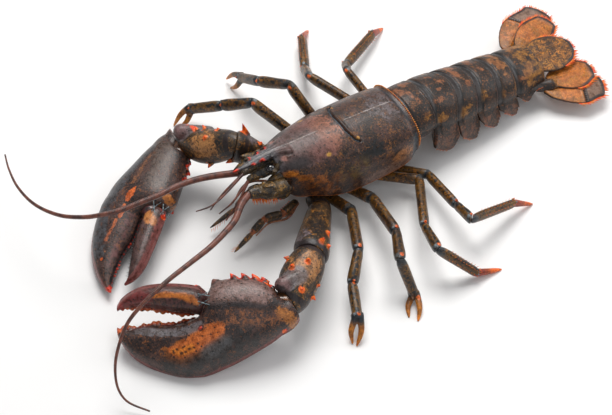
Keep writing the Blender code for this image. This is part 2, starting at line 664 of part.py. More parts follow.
def claw_axes(wrist, tip, across):
    """Directions along the claw, across it towards the movable finger, and out of its face."""
    along = (tip - wrist).normalized()
    across = (across - along * across.dot(along)).normalized()
    return along, across, along.cross(across)


def claw_place(claw, reach, aside, lift_off):
    """A place given in the claw's own directions from its wrist."""
    along, across, face = claw_axes(*claw)
    return claw[0] + along * reach + across * aside + face * lift_off


def claw_rings(wrist, tip, across, profile, count):
    """Rings of a claw piece in the plane of the claw."""
    along, across, face = claw_axes(wrist, tip, across)
    rings = []
    for reach, outer, inner, half in profile:
        centre = wrist + along * reach + across * (outer + inner) / 2
        rings.append(oval(centre, across, face, (inner - outer) / 2, half, count, 0.92))
    return rings


def claw_spot(wrist, tip, across, profile, reach, turn):
    """A point of a claw piece at this reach, and the way out there."""
    along, across, face = claw_axes(wrist, tip, across)
    outer = through([(row[0], row[1]) for row in profile], reach)
    inner = through([(row[0], row[2]) for row in profile], reach)
    half = through([(row[0], row[3]) for row in profile], reach)
    centre = wrist + along * reach + across * (outer + inner) / 2
    return spot(centre, across, face, (inner - outer) / 2, half, turn)


def claw_spines(wrist, tip, across, profile, rows):
    """Spines that lean towards the claw's tip."""
    along = (tip - wrist).normalized()
    spines = []
    for reach, turn, height, radius in rows:
        place, outward = claw_spot(wrist, tip, across, profile, reach, turn)
        way = (outward + along * SPINE_LEAN).normalized()
        spines.append(spike(place, place + way * height, radius))
    return spines


def claw_teeth(wrist, tip, across, profile, facing, row, turn, seed):
    """Teeth along a biting edge, kept clear of the other finger's edge."""
    first, last, count, height, radius, shoulder = row
    draw = random.Random(seed)
    teeth = []
    for reach in spread(first, last, count):
        reach += draw.uniform(-0.15, 0.15) * (last - first) / count
        size = draw.uniform(0.75, 1.1)
        place, outward = claw_spot(wrist, tip, across, profile, reach, turn)
        other, _ = claw_spot(wrist, tip, across, facing, reach, 180 - turn)
        room = ((other - place).length - BITE_CLEARANCE) / 2
        tall = min(height * size, room)
        if tall > 0.4:
            teeth.append(knob(place, place + outward * tall, radius * size, shoulder, 5))
    return teeth


def make_claw(name, wrist, tip, across, palm, thumb, joint, joint_normal, spines, teeth):
    """Palm with its fixed finger, and the movable finger; the palm leans onto the wrist's plane."""
    along = (tip - wrist).normalized()
    palm_rings = claw_rings(wrist, tip, across, palm, 16)
    for i, row in enumerate(palm):
        share = 1 - (row[0] - palm[0][0]) / WRIST_BLEND
        if share > 0:
            palm_rings[i] = tilt(palm_rings[i], along, joint_normal, share)
    palm_rings[0] = slide_to_plane(palm_rings[0], along, joint + joint_normal * GAP / 2, joint_normal)
    thumb_rings = claw_rings(wrist, tip, across, thumb, 12)
    frame = (wrist, tip, across)
    palm_extras = claw_spines(*frame, palm, spines[0]) + claw_teeth(*frame, palm, thumb, teeth[0], 0, 3)
    thumb_extras = claw_spines(*frame, thumb, spines[1]) + claw_teeth(*frame, thumb, palm, teeth[1], 180, 4)
    finish(name + "_palm", skin(lift(palm_rings)), palm_extras, CLAW)
    finish(name + "_thumb", skin(lift(thumb_rings)), thumb_extras, CLAW)


def tail_frame(y):
    """Turns the abdomen's sections left side down and sideways, more so towards the fan."""
    share = max(y, 0) / TAIL_SEAMS[-1]
    roll = Matrix.Rotation(TAIL_ROLL * share, 3, "Y")
    return Vector((TAIL_DRIFT * share, 0, through(TAIL_MIDDLE, y))), roll


def tail_ring(number, share):
    """One cross-section of a tail segment: arch, side lappets and the flat belly between them."""
    front, back = TAIL_SEAMS[number - 1], TAIL_SEAMS[number] - GAP
    y = front + (back - front) * share
    middle, rise, half = (through(k, y) for k in (TAIL_MIDDLE, TAIL_RISE, TAIL_HALF))
    swell = FRONT_TUCK + (1 - FRONT_TUCK) * min(1, share * 1.6)
    low, out = through(LAPPET_LOW[number - 1], share), LAPPET_HALF[number - 1]
    back_shift = LAPPET_BACK[number - 1] * (1 - share)
    sweep = through(TAIL_SWEEP, y)
    outline = []
    for turn in spread(-90, 90, ARCH_POINTS):
        turn = math.radians(turn)
        out_x, out_z = half * swell * math.sin(turn), rise * swell * math.cos(turn)
        outline.append(Vector((out_x, y + sweep * math.sin(turn) ** 2, middle + out_z)))
    belly = middle - TAIL_BELLY_DROP
    side_y = y + sweep
    waist = (half * swell + out) / 2
    right = [
        Vector((waist + 0.6, side_y + max(back_shift, 0) * 0.3, (middle + low) / 2)),
        Vector((out, side_y + back_shift, low)),
        Vector((out - LAPPET_WALL, side_y + back_shift, low)),
        Vector((half * swell - LAPPET_WALL - 2, side_y, belly)),
    ]
    outline += right + [Vector((-p.x, p.y, p.z)) for p in reversed(right)]
    place, roll = tail_frame(y)
    height = Vector((0, 0, place.z))
    return [roll @ (p - height) + place for p in outline]


def make_tail():
    for number in range(1, 7):
        shares = {share for share, _ in LAPPET_LOW[number - 1]} | {0.15, 0.3, 0.65, 0.92}
        rings = [tail_ring(number, share) for share in sorted(shares)]
        extras = swimmerets(number) if 2 <= number <= 5 else []
        finish(f"tail_segment_{number}", skin(rings, LAPPET_RUNS), extras, TAIL)


def swimmerets(number):
    """Two pairs of thin blades that hang and trail below a tail segment's belly."""
    y = (TAIL_SEAMS[number - 1] + TAIL_SEAMS[number]) / 2 - 1
    place, roll = tail_frame(y)
    belly_y = y + through(TAIL_SWEEP, y)
    drop = TAIL_BELLY_DROP - 1.5
    length = SWIMMERET_LENGTH[number - 2]
    blades = []
    for sign in (1, -1):
        for apart, tilt_back, reach in ((-2.6, 38, 1), (2.6, 46, 0.85)):
            root = roll @ Vector((sign * (SWIMMERET_X + apart), 0, -drop)) + place
            root.y = belly_y
            lean = math.radians(tilt_back)
            way = Vector((sign * apart * 0.04, math.cos(lean), -math.sin(lean))).normalized()
            side = Vector((1, 0, 0))
            flat = side.cross(way).normalized()
            rings = []
            for share, wide in ((0, 0.55), (0.25, 0.7), (0.6, 1), (0.85, 0.75)):
                half = SWIMMERET_HALF * wide
                rings.append(oval(root + way * length * reach * share, side, flat, half, SWIMMERET_THICK, 6))
            rings.append([root + way * length * reach])
            blades.append(skin(rings))
    return blades


def make_fan():
    for name, (base, tip, thick, roll, widths) in FAN_PLATES.items():
        base, tip = Vector(base), Vector(tip)
        along = (tip - base).normalized()
        side = (Matrix.Rotation(math.radians(roll), 3, "Y") @ Vector((1, 0, 0)))
        side = (side - along * side.dot(along)).normalized()
        up = side.cross(along)
        rings = []
        for share, right, left in widths:
            middle = base.lerp(tip, share) + side * (left + right) / 2
            half = (left - right) / 2
            rings.append([middle + side * half * x + up * thick * z for x, z in PLATE_SECTION])
        finish(name, skin(rings), material=FAN)


def tube(route, radii, sides=8):
    """A tapering tube along a route."""
    rings = []
    for k, point in enumerate(route):
        ahead = route[min(k + 1, len(route) - 1)] - route[max(k - 1, 0)]
        axis = ahead.normalized()
        side = axis.cross(UP).normalized()
        rings.append(oval(point, side, side.cross(axis), radii[k], radii[k], sides))
    return rings


def antenna_scale(sign):
    """The pointed blade beside the antenna's base."""
    root, tip = (Vector((sign * x, y, z)) for x, y, z in (SCALE_ROOT, SCALE_TIP))
    way = (tip - root).normalized()
    side = way.cross(UP).normalized()
    rings = []
    for share, wide in ((-0.1, 0.7), (0.25, 1), (0.6, 0.85), (0.85, 0.35)):
        half = SCALE_HALF * wide
        rings.append(oval(root.lerp(tip, share), side, side.cross(way), half, SCALE_THICK * wide, 6))
    rings.append([tip])
    return skin(rings)


def bristle_comb(base):
    """Stiff bristles along the lower edge of the antenna's base."""
    bristles = []
    for share in spread(*COMB_SPAN, COMB_COUNT):
        radius = through(list(zip((0, 0.35, 0.8, 1), PEDUNCLE_RADII)), share)
        middle = through(list(zip((0, 0.35, 0.8, 1), base)), share)
        down = Vector((math.copysign(0.35, middle.x), -0.25, -1)).normalized()
        edge = middle + down * (radius - 0.5)
        bristles.append(spike(edge, edge + down * COMB_HEIGHT, 0.9, 4))
    return bristles


def make_antenna(name, points, root):
    """Peduncle from the front of the shell to its knob, then the long whip in two lengths."""
    root, knob = Vector(root), Vector(points[0])
    outward = Vector((math.copysign(1, root.x), 0, -0.5))
    base = [root, root.lerp(knob, 0.35) + outward, root.lerp(knob, 0.8), knob]
    front = Vector((0, -1, -LEAN[0][1])).normalized()
    count = 41
    route = smooth_route(points, count)
    thick, thin = FLAGELLUM_THICK
    start = (route[1] - route[0]).normalized()
    knob_normal = ((knob - base[2]).normalized() + start).normalized()
    rings = tube(base, PEDUNCLE_RADII, 8)
    rings[0] = slide_to_plane(rings[0], (base[1] - root).normalized(), front_plane(), front)
    last = (knob - base[2]).normalized()
    rings[-1] = slide_to_plane(rings[-1], last, knob - knob_normal * GAP / 2, knob_normal)
    extras = [antenna_scale(math.copysign(1, root.x))] + bristle_comb(base)
    finish(name + "_base", skin(rings), extras, ARM)
    half = count // 2
    rings = tube(route, [thick + (thin - thick) * k / (count - 1) for k in range(count)], 6)
    rings[0] = slide_to_plane(rings[0], start, knob + knob_normal * GAP / 2, knob_normal)
    first, second = rings[: half + 1], rings[half:]
    shift = (route[half + 1] - route[half]).normalized() * GAP
    second[0] = [p + shift for p in second[0]]
    finish(name + "_flagellum_1", skin(first), material=FEELER)
    finish(name + "_flagellum_2", skin(second), material=FEELER)


def make_antennule(name, root, knee, ends):
    """Short stem under the beak with its two thin whips."""
    root, knee = Vector(root), Vector(knee)
    stem = skin(tube([root, root.lerp(knee, 0.5), knee], (2.3, 2.1, 1.5), 6))
    whips = []
    for points in ends:
        route = smooth_route((knee + (root - knee).normalized() * 1.5, *points), 8)
        whips.append(skin(tube(route, [0.9 - 0.07 * k for k in range(8)], 5)))
    finish(name, stem, whips, FEELER)


def make_maxilliped(name, sign, joints):
    """One of the jointed mouth feelers, with teeth on its inner edge and a thin outer whip."""
    joints = [Vector(p) for p in joints]
    axes, sides = frames(joints)
    sizes = (3.6, 3.4, 2.8, 2.2)
    rings = []
    for k, size in enumerate(sizes):
        up = sides[k].cross(axes[k])
        for share in (0.15, 0.85):
            rings.append(oval(joints[k].lerp(joints[k + 1], share), sides[k], up, size * 0.75, size, 8))
    rings.append([joints[-1]])
    extras = []
    for share in spread(0.35, 0.95, MAXILLIPED_TEETH):
        edge = joints[0].lerp(joints[1], share)
        inward = Vector((-sign, 0, 0.35)).normalized()
        edge = edge + inward * sizes[1] * 0.7
        extras.append(spike(edge, edge + inward * 2, 1.1, 4))
    outward = Vector((sign, 0, 0.2)).normalized()
    whip = [joint + outward * out for joint, out in zip(joints, (1.5, 5, 5.5, 4))]
    extras.append(skin(tube(whip, (1.1, 0.9, 0.7, 0.4), 5)))
    finish(name, skin(rings), extras, ARM)


for leftover in list(bpy.data.objects):
    bpy.data.objects.remove(leftover)
LOBSTER = bpy.data.collections.new("american_lobster")
bpy.context.scene.collection.children.link(LOBSTER)
STAND = bpy.data.objects.new("body_frame", None)
STAND.location = HOME * MM
LOBSTER.objects.link(STAND)
SHELL = paint("dark_shell", (0.045, 0.025, 0.022), 0.35)
UNDERSIDE = paint("underside", (0.25, 0.12, 0.06), 0.5)
CORNEA = paint("eye_black", (0.004, 0.004, 0.006), 0.08)
LEG = paint("leg_shell", (0.11, 0.07, 0.035), 0.4)
ARM = paint("arm_shell", (0.07, 0.045, 0.035), 0.4)
CLAW = paint("claw_shell", (0.07, 0.03, 0.022), 0.35)
TAIL = paint("tail_shell", (0.08, 0.04, 0.03), 0.38)
FAN = paint("fan_shell", (0.35, 0.14, 0.04), 0.45)
FEELER = paint("feeler", (0.2, 0.05, 0.035), 0.45)

make_carapace()
make_thorax()
make_eye("eye_left", False)
make_eye("eye_right", True)
make_antenna("antenna_left", FLAGELLUM_LEFT, (14, -92, 38.5))
make_antenna("antenna_right", FLAGELLUM_RIGHT, (-12.5, -92, 40))
make_antennule(
    "antennule_left", (3.4, -99, 45), (4, -116, 44.5),
    (((11, -126.5, 40), (12, -136, 30)), ((10, -130, 41), (9.5, -139, 36))),
)
make_antennule(
    "antennule_right", (-3, -99, 45.5), (-1.6, -116, 45.5),
    (((4.5, -132.5, 44), (6, -142.5, 42), (2.5, -151, 39)), ((1.5, -130, 43), (4, -142, 36))),
)
make_maxilliped(
    "maxilliped_left", 1, ((9, -83, 11), (15, -97, 14), (12, -109, 14), (14.5, -119, 10), (18, -135, 4.5)))
make_maxilliped(
    "maxilliped_right", -1,
    ((-8, -84, 12), (-11, -97, 15), (-11.5, -106, 15), (-6.5, -118, 12), (-6, -138, 6)))
for leg in LEG_JOINTS:
    make_leg(leg)
LEFT_WRIST = make_arm(
    "arm_left", ARM_LEFT, (CRUSHER_WRIST, CRUSHER_TIP, CRUSHER_ACROSS), ARM_LEFT_SIZES, ARM_LEFT_SPINES,
    KNUCKLE_LEFT)
RIGHT_WRIST = make_arm(
    "arm_right", ARM_RIGHT, (CUTTER_WRIST, CUTTER_TIP, CUTTER_ACROSS), ARM_RIGHT_SIZES, ARM_RIGHT_SPINES,
    KNUCKLE_RIGHT)
make_claw(
    "crusher", CRUSHER_WRIST, CRUSHER_TIP, CRUSHER_ACROSS, CRUSHER_PALM, CRUSHER_THUMB,
    Vector(ARM_LEFT[3]), LEFT_WRIST,
    (CRUSHER_PALM_SPINES, CRUSHER_THUMB_SPINES), (CRUSHER_TEETH, CRUSHER_TEETH),
)
make_claw(
    "cutter", CUTTER_WRIST, CUTTER_TIP, CUTTER_ACROSS, CUTTER_PALM, CUTTER_THUMB,
    Vector(ARM_RIGHT[3]), RIGHT_WRIST,
    (CUTTER_PALM_SPINES, CUTTER_THUMB_SPINES), (CUTTER_TEETH, CUTTER_THUMB_TEETH),
)
make_tail()
make_fan()
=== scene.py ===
"""American lobster, life size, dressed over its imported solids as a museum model.

Lengths are millimetres in the animal's own frame, head towards -Y, left side +X and floor at z = 0,
until a mesh is made. HOME is where that frame's origin lies among the solids.
"""

import random
from math import copysign, cos, exp, pi, radians, sin, sqrt

import bmesh
import bpy
import numpy as np
from mathutils import Matrix, Vector


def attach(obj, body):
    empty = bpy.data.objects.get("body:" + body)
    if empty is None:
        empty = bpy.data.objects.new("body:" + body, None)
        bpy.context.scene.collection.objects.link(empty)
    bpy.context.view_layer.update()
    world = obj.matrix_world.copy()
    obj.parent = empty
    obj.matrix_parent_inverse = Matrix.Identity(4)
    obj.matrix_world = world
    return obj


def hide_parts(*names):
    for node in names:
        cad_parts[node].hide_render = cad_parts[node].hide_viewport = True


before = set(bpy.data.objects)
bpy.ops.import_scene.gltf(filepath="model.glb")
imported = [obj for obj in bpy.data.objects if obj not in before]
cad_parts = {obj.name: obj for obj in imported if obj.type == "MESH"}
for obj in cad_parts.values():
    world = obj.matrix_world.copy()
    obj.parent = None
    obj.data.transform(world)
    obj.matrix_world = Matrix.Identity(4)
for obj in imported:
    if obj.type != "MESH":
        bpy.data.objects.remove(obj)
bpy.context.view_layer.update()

# Studio. A pale sweep of floor, a broad soft key from the upper left and weaker fills, and the
# camera high in front of the animal's left shoulder with a long lens.
MM = 0.001
HOME = Vector((3.05, 48.6, 0))
CAMERA_PLACE = (606.2, -464.5, 836.8)
CAMERA_AZIMUTH = 56.95
CAMERA_ELEVATION = 49.55
CAMERA_LENS = 101.88
CAMERA_DEPTH = 20
FLOOR_HALF = 3
FLOOR_DROP = 0.0002
FLOOR_TONE = (0.87, 0.87, 0.87, 1)
SKY_STRENGTH = 0.3
# Each lamp: its name, its place, its watts, its width and its colour.
LAMPS = (
    ("key", (-0.5, 0.3, 1.25), 19, 0.85, (1, 0.985, 0.965)),
    ("fill", (0.95, -0.3, 0.9), 3.2, 1.1, (0.93, 0.96, 1)),
    ("back", (0.3, 1.2, 0.75), 5, 0.8, (1, 1, 1)),
)


def studio_finish():
    """Matt and pale, for the floor."""
    material = bpy.data.materials.new("pale_floor")
    material.use_nodes = True
    shader = material.node_tree.nodes["Principled BSDF"]
    shader.inputs["Base Color"].default_value = FLOOR_TONE
    shader.inputs["Roughness"].default_value = 0.9
    return material


bpy.ops.mesh.primitive_plane_add(size=2 * FLOOR_HALF)
floor = bpy.context.object
floor.name = "floor"
floor.location.z = -FLOOR_DROP
floor.data.materials.append(studio_finish())

for lamp_name, place, watts, size, colour in LAMPS:
    lamp = bpy.data.lights.new(lamp_name, "AREA")
    lamp.energy = watts
    lamp.size = size
    lamp.color = colour
    holder = bpy.data.objects.new(lamp_name, lamp)
    holder.location = place
    holder.rotation_euler = (-Vector(place)).to_track_quat("-Z", "Y").to_euler()
    bpy.context.scene.collection.objects.link(holder)

world = bpy.data.worlds.new("studio_sky")
world.use_nodes = True
sky = world.node_tree.nodes["Background"]
sky.inputs["Color"].default_value = (1, 1, 1, 1)
sky.inputs["Strength"].default_value = SKY_STRENGTH
bpy.context.scene.world = world
bpy.context.scene.view_settings.view_transform = "Standard"

lens = bpy.data.cameras.new("photo_camera")
lens.lens = CAMERA_LENS
lens.clip_end = CAMERA_DEPTH
camera = bpy.data.objects.new("photo_camera", lens)
camera.location = (Vector(CAMERA_PLACE) + HOME) * MM
camera.rotation_euler = (radians(90 - CAMERA_ELEVATION), 0, radians(CAMERA_AZIMUTH))
bpy.context.scene.collection.objects.link(camera)
bpy.context.scene.camera = camera


# Carapace. One hard shell from the rostrum to the abdomen, hollow below, with its beak, the spines
# beside it and the groove across its back cast in one skin. Glossy dark shell with orange mottling.
UP = Vector((0, 0, 1))
RIDGE = ((-97, 57.4), (-75, 56.8), (-47, 54.9), (-15, 52.2), (0, 50))
HALF_WIDTH = ((-97, 12), (-85, 18), (-75, 21.5), (-57, 25.5), (-38, 27), (-15, 26.6), (0, 25))
WAIST = ((-97, 44), (-75, 39), (-50, 36), (0, 36))
HEM = (
    (-97, 26), (-92, 22), (-86, 20.5), (-80, 21), (-75, 20), (-57, 16.2), (-38, 16), (-15, 16.5),
    (-6, 20), (-1, 27.5),
)
HEM_HALF = ((-97, 11), (-85, 15.5), (-75, 19.5), (-57, 23.5), (-38, 25), (0, 25))
LEAN = ((-97, 0.2), (-75, 0.06), (-55, 0), (0, 0))
CARAPACE_ENDS = (-97, -1)
SHELL_WALL = 2.4
SHELL_RINGS = 110
SHELL_STOPS = 101
ROOF_ABOVE_HEM = 9
SIDE_SHARE = 0.62
# Each groove: its stops as (y, share of the way from the ridge to a hem), its depth and half width.
GROOVES = (
    (((-41.6, -0.27), (-44, -0.23), (-46, -0.12), (-46.4, 0), (-46, 0.12), (-44, 0.23), (-41.6, 0.27)),
     1.7, 0.75),
    (((-49, 0.42), (-56, 0.5), (-63, 0.55), (-66.5, 0.64), (-66.5, 0.84)), 0.35, 1.6),
    (((-49, -0.42), (-56, -0.5), (-63, -0.55), (-66.5, -0.64), (-66.5, -0.84)), 0.35, 1.6),
)
BANK_HEIGHT = 0.35
BANK_AWAY = 2.2
RIM_Y = -1.3
FURROW_Y = -4.2
REAR_RIM = ((RIM_Y, 0.5, 0.9), (FURROW_Y, -0.7, 1.5))
RIM_SHARE = 0.8
ROOF_STEP = 2.2
# The beak's stops as y, half width, height of its top and thickness.
ROSTRUM = (
    (-84, 8, 57, 5), (-92, 4.8, 58, 5), (-99, 3.5, 58, 4.4), (-107, 2.7, 57, 3.6),
    (-114, 1.7, 55.8, 2.6), (-122.6, 0.6, 55.4, 1),
)
BEAK_TIP = Vector((0, -123.5, 55.3))
BEAK_CROWN = 0.45
# Each spine: its root, its tip and its radius, on the left side.
FRONT_SPINES = (
    ((3.4, -94.5, 57), (5.2, -99.2, 58.4), 1.4),
    ((2.8, -100, 56.6), (4.6, -104.6, 57.6), 1.35),
    ((2.1, -106.2, 56), (3.9, -111, 57.4), 1.25),
    ((8, -84.5, 54.5), (8.4, -89.6, 56.2), 1.5),
    ((9.6, -93, 48.5), (10.8, -100.5, 49.2), 1.5),
)
# Each patch, the same on both sides: its strength, its middle on the left, its reach and its colour.
CARAPACE_PATCHES = (
    (0.62, (5, -56, 55), (12, 8, 9), (0.25, 0.1, 0.06)),
    (0.5, (12, -66, 53), (7, 10, 5), (0.16, 0.062, 0.05)),
    (0.5, (21, -74, 36), (7, 16, 7), (0.34, 0.11, 0.022)),
    (0.5, (22, -70, 25), (8, 14, 5), (0.25, 0.095, 0.035)),
    (0.5, (26, -50, 36), (6, 12, 9), (0.12, 0.07, 0.02)),
    # The lower rear flank: a smoother pinkish-brown tone with painted sheen on it.
    (0.85, (25, -24, 21), (6, 26, 6), (0.17, 0.1, 0.075)),
    (0.6, (26, -14, 31), (6, 9, 6), (0.33, 0.14, 0.05)),
    (0.55, (22, -34, 44), (8, 12, 5), (0.013, 0.014, 0.016)),
    (0.9, (16.5, -64, 51), (1.2, 1.5, 1.4), (0.45, 0.25, 0.05)),
    (0.8, (14.6, -41.5, 51), (1.3, 1.4, 1.6), (0.4, 0.2, 0.04)),
    # Painted shade: black under the postorbital spine on each side.
    (0.7, (12.5, -84, 51.5), (5, 10, 3), (0.015, 0.015, 0.017)),
    (0.9, (13.6, -91, 46.2), (3.4, 6, 2.6), (0.5, 0.16, 0.012)),
    (0.6, (17.5, -82.5, 42.5), (3.4, 8, 3), (0.36, 0.12, 0.018)),
    (0.6, (21, -84, 33), (5, 5, 6), (0.012, 0.012, 0.014)),
)
BLACK_BROWN = (0.02, 0.013, 0.011)
MAROON_BROWN = (0.07, 0.032, 0.024)
RUST = (0.22, 0.085, 0.022)
SCARLET = (0.7, 0.035, 0.006)
TIP_ORANGE = (0.8, 0.14, 0.012)
BLUE_BLACK = (0.012, 0.018, 0.024)
FLECK_BLACK = (0.008, 0.008, 0.009)
PALE_LINE = (0.3, 0.27, 0.26)


def through(knots, t):
    """Value at t of the smooth curve through (t, value) knots."""
    if t <= knots[0][0]:
        return knots[0][1]
    if t >= knots[-1][0]:
        return knots[-1][1]
    i = max(k for k in range(len(knots) - 1) if knots[k][0] <= t)
    (start, low), (stop, high) = knots[i], knots[i + 1]
    before, after = knots[max(i - 1, 0)], knots[min(i + 2, len(knots) - 1)]
    leave = (high - before[1]) / (stop - before[0])
    arrive = (after[1] - low) / (after[0] - start)
    span = stop - start
    s = (t - start) / span
    return (
        (2 * s**3 - 3 * s**2 + 1) * low
        + (s**3 - 2 * s**2 + s) * span * leave
        + (3 * s**2 - 2 * s**3) * high
        + (s**3 - s**2) * span * arrive
    )


def section_at(stops, t):
    """Values at t of the smooth curves through the columns of (t, value, value, ...) stops."""
    return [through([(stop[0], stop[k]) for stop in stops], t) for k in range(1, len(stops[0]))]


def spread(low, high, count):
    """Evenly spaced values from low to high, both included."""
    return [low + (high - low) * k / (count - 1) for k in range(count)]


def oval(centre, side, up, half_side, half_up, count, square=1.0):
    """A ring of points round an oval; square under 1 makes it boxier."""
    ring = []
    for k in range(count):
        turn = 2 * pi * (k + 0.5) / count
        across, rise = cos(turn), sin(turn)
        across = copysign(abs(across) ** square, across)
        rise = copysign(abs(rise) ** square, rise)
        ring.append(centre + side * half_side * across + up * half_up * rise)
    return ring


def loft(rings):
    """A closed solid through rings of equal point count, as points and faces; one point is a tip."""
    points = [p for ring in rings for p in ring]
    faces = []
    start = 0
    for near, far in zip(rings, rings[1:]):
        after = start + len(near)
        count = max(len(near), len(far))
        for i in range(count):
            j = (i + 1) % count
            corners = (
                start + i % len(near), start + j % len(near), after + j % len(far), after + i % len(far))
            faces.append(tuple(dict.fromkeys(corners)))
        start = after
    if len(rings[0]) > 1:
        faces.append(tuple(range(len(rings[0]))))
    if len(rings[-1]) > 1:
        faces.append(tuple(range(start, start + len(rings[-1]))))
    return points, faces


def piece_of(name, solids):
    """One object of several closed solids, with its place in its mesh."""
    points, faces = [], []
    for more, around in solids:
        shift = len(points)
        points += more
        faces += [tuple(i + shift for i in face) for face in around]
    mesh = bpy.data.meshes.new(name)
    mesh.from_pydata([(p + HOME) * MM for p in points], [], faces)
    body = bmesh.new()
    body.from_mesh(mesh)
    bmesh.ops.recalc_face_normals(body, faces=body.faces)
    body.to_mesh(mesh)
    body.free()
    piece = bpy.data.objects.new(name, mesh)
    bpy.context.scene.collection.objects.link(piece)
    return piece


def settle(piece):
    """Makes the piece's modifiers part of its mesh."""
    graph = bpy.context.evaluated_depsgraph_get()
    mesh = bpy.data.meshes.new_from_object(piece.evaluated_get(graph))
    piece.modifiers.clear()
    piece.data = mesh
    mesh.name = piece.name
    return piece


def cast(name, solids, grain, ease=3):
    """One continuous skin round overlapping solids, with soft fillets where they meet."""
    piece = piece_of(name, solids)
    skin = piece.modifiers.new("skin", "REMESH")
    skin.mode = "VOXEL"
    skin.voxel_size = grain * MM
    soften = piece.modifiers.new("soften", "SMOOTH")
    soften.factor = 0.5
    soften.iterations = ease
    return settle(piece)


def horn(base, tip, radius, blunt=0.15, sides=12, sink=1.5):
    """A spine or tooth: straight-sided where blunt is 0, a dome where it is 1."""
    base, tip = Vector(base), Vector(tip)
    way = (tip - base).normalized()
    side = way.orthogonal().normalized()
    up = way.cross(side)
    rings = [oval(base - way * sink, side, up, radius * 1.15, radius * 1.15, sides)]
    for share in (0, 0.2, 0.4, 0.6, 0.8, 0.93):
        wide = radius * ((1 - blunt) * (1 - share) + blunt * sqrt(1 - share * share))
        rings.append(oval(base.lerp(tip, share), side, up, wide, wide, sides))
    rings.append([tip])
    return loft(rings)


def spots_of(piece):
    """The piece's points in body millimetres, as an array."""
    spots = np.empty(len(piece.data.vertices) * 3)
    piece.data.vertices.foreach_get("co", spots)
    return spots.reshape(-1, 3) / MM - np.array(HOME)


def soft(values, low, high):
    """0 at low and 1 at high, with a smooth step between; low may be the larger one."""
    share = np.clip((values - low) / (high - low), 0, 1)
    return share * share * (3 - 2 * share)


def blob(spots, centre, reach):
    """1 at the centre of an ellipsoid, 0.5 at its surface and 0 beyond."""
    away = np.linalg.norm((spots - np.array(centre)) / np.array(reach), axis=1)
    return soft(away, 1.5, 0.5)


def near_path(spots, path):
    """Distance of each spot from a line through the path's points."""
    path = np.array([tuple(p) for p in path], float)
    nearest = np.full(len(spots), 1e9)
    for a, b in zip(path, path[1:]):
        run = b - a
        share = np.clip((spots - a) @ run / (run @ run), 0, 1)
        nearest = np.minimum(nearest, np.linalg.norm(spots - a - share[:, None] * run, axis=1))
    return nearest


def tips(spots, spines, colour_from=0.35):
    """1 on the outer part of each spine."""
    field = np.zeros(len(spots))
    for base, tip, radius in spines:
        base, tip = np.array(base, float), np.array(tip, float)
        run = tip - base
        share = (spots - base) @ run / (run @ run)
        aside = np.linalg.norm(spots - base - share[:, None] * run, axis=1)
        on = soft(share, colour_from - 0.25, colour_from + 0.15) * soft(aside, radius * 1.8, radius * 1.2)
        field = np.maximum(field, on * (share < 1.8))
    return field


def add_node(tree, kind, settings=(), **inputs):
    """A node with its settings and inputs; an input takes a value, a socket or a node's first output."""
    node = tree.nodes.new(kind)
    for key, value in dict(settings).items():
        setattr(node, key, value)
    for key, value in inputs.items():
        at = int(key[1:]) if key[1:].isdigit() else key.replace("_", " ")
        if isinstance(value, bpy.types.Node):
            value = value.outputs[0]
        if isinstance(value, bpy.types.NodeSocket):
            tree.links.new(value, node.inputs[at])
        else:
            node.inputs[at].default_value = value
    return node


def worked(tree, operation, *values, clamp=False):
    """What a math node makes of the values."""
    inputs = {f"_{k}": value for k, value in enumerate(values)}
    settings = {"operation": operation, "use_clamp": clamp}
    return add_node(tree, "ShaderNodeMath", settings, **inputs).outputs[0]


def product(tree, one, other):
    """One value times the other."""
    return worked(tree, "MULTIPLY", one, other)


def scaled(tree, value, factor, offset=0.0):
    """The value times the factor plus the offset, kept between 0 and 1."""
    return worked(tree, "MULTIPLY_ADD", value, factor, offset, clamp=True)


def stepped(tree, value, low, high):
    """0 at low and 1 at high, with a smooth step between."""
    return add_node(
        tree, "ShaderNodeMapRange", {"interpolation_type": "SMOOTHSTEP"},
        Value=value, From_Min=low, From_Max=high).outputs["Result"]


def cloudy(tree, place, scale, detail=4, rough=0.6, warp=0.0):
    """A grey field of soft clouds."""
    return add_node(
        tree, "ShaderNodeTexNoise", Vector=place, Scale=scale, Detail=detail, Roughness=rough,
        Distortion=warp).outputs["Fac"]


def blotches(tree, place, scale, low, high, *kind):
    """A field of blotches with soft edges, cut out of clouds of this kind."""
    return stepped(tree, cloudy(tree, place, scale, *kind), low, high)


def blend(tree, share, under, over, mode="MIX"):
    """The over colour laid on the under colour by share."""
    mix = add_node(tree, "ShaderNodeMix", {"data_type": "RGBA", "blend_type": mode}, _0=share)
    for socket, value in ((6, under), (7, over)):
        if isinstance(value, bpy.types.NodeSocket):
            tree.links.new(value, mix.inputs[socket])
        else:
            mix.inputs[socket].default_value = (*value, 1)
    return mix.outputs[2]


def blank_finish(name):
    """A new material, its tree, its shader and the place on the piece that wears it."""
    material = bpy.data.materials.new(name)
    material.use_nodes = True
    tree = material.node_tree
    place = add_node(tree, "ShaderNodeTexCoord").outputs["Object"]
    return material, tree, tree.nodes["Principled BSDF"], place


def painted_on(tree, name):
    """The outputs of what was painted on the piece under this name."""
    return add_node(tree, "ShaderNodeAttribute", {"attribute_name": name}).outputs


def emboss(tree, shader, height, strength, depth):
    """Gives the shader a fine relief."""
    bump = add_node(tree, "ShaderNodeBump", Height=height, Strength=strength, Distance=depth)
    tree.links.new(bump.outputs["Normal"], shader.inputs["Normal"])


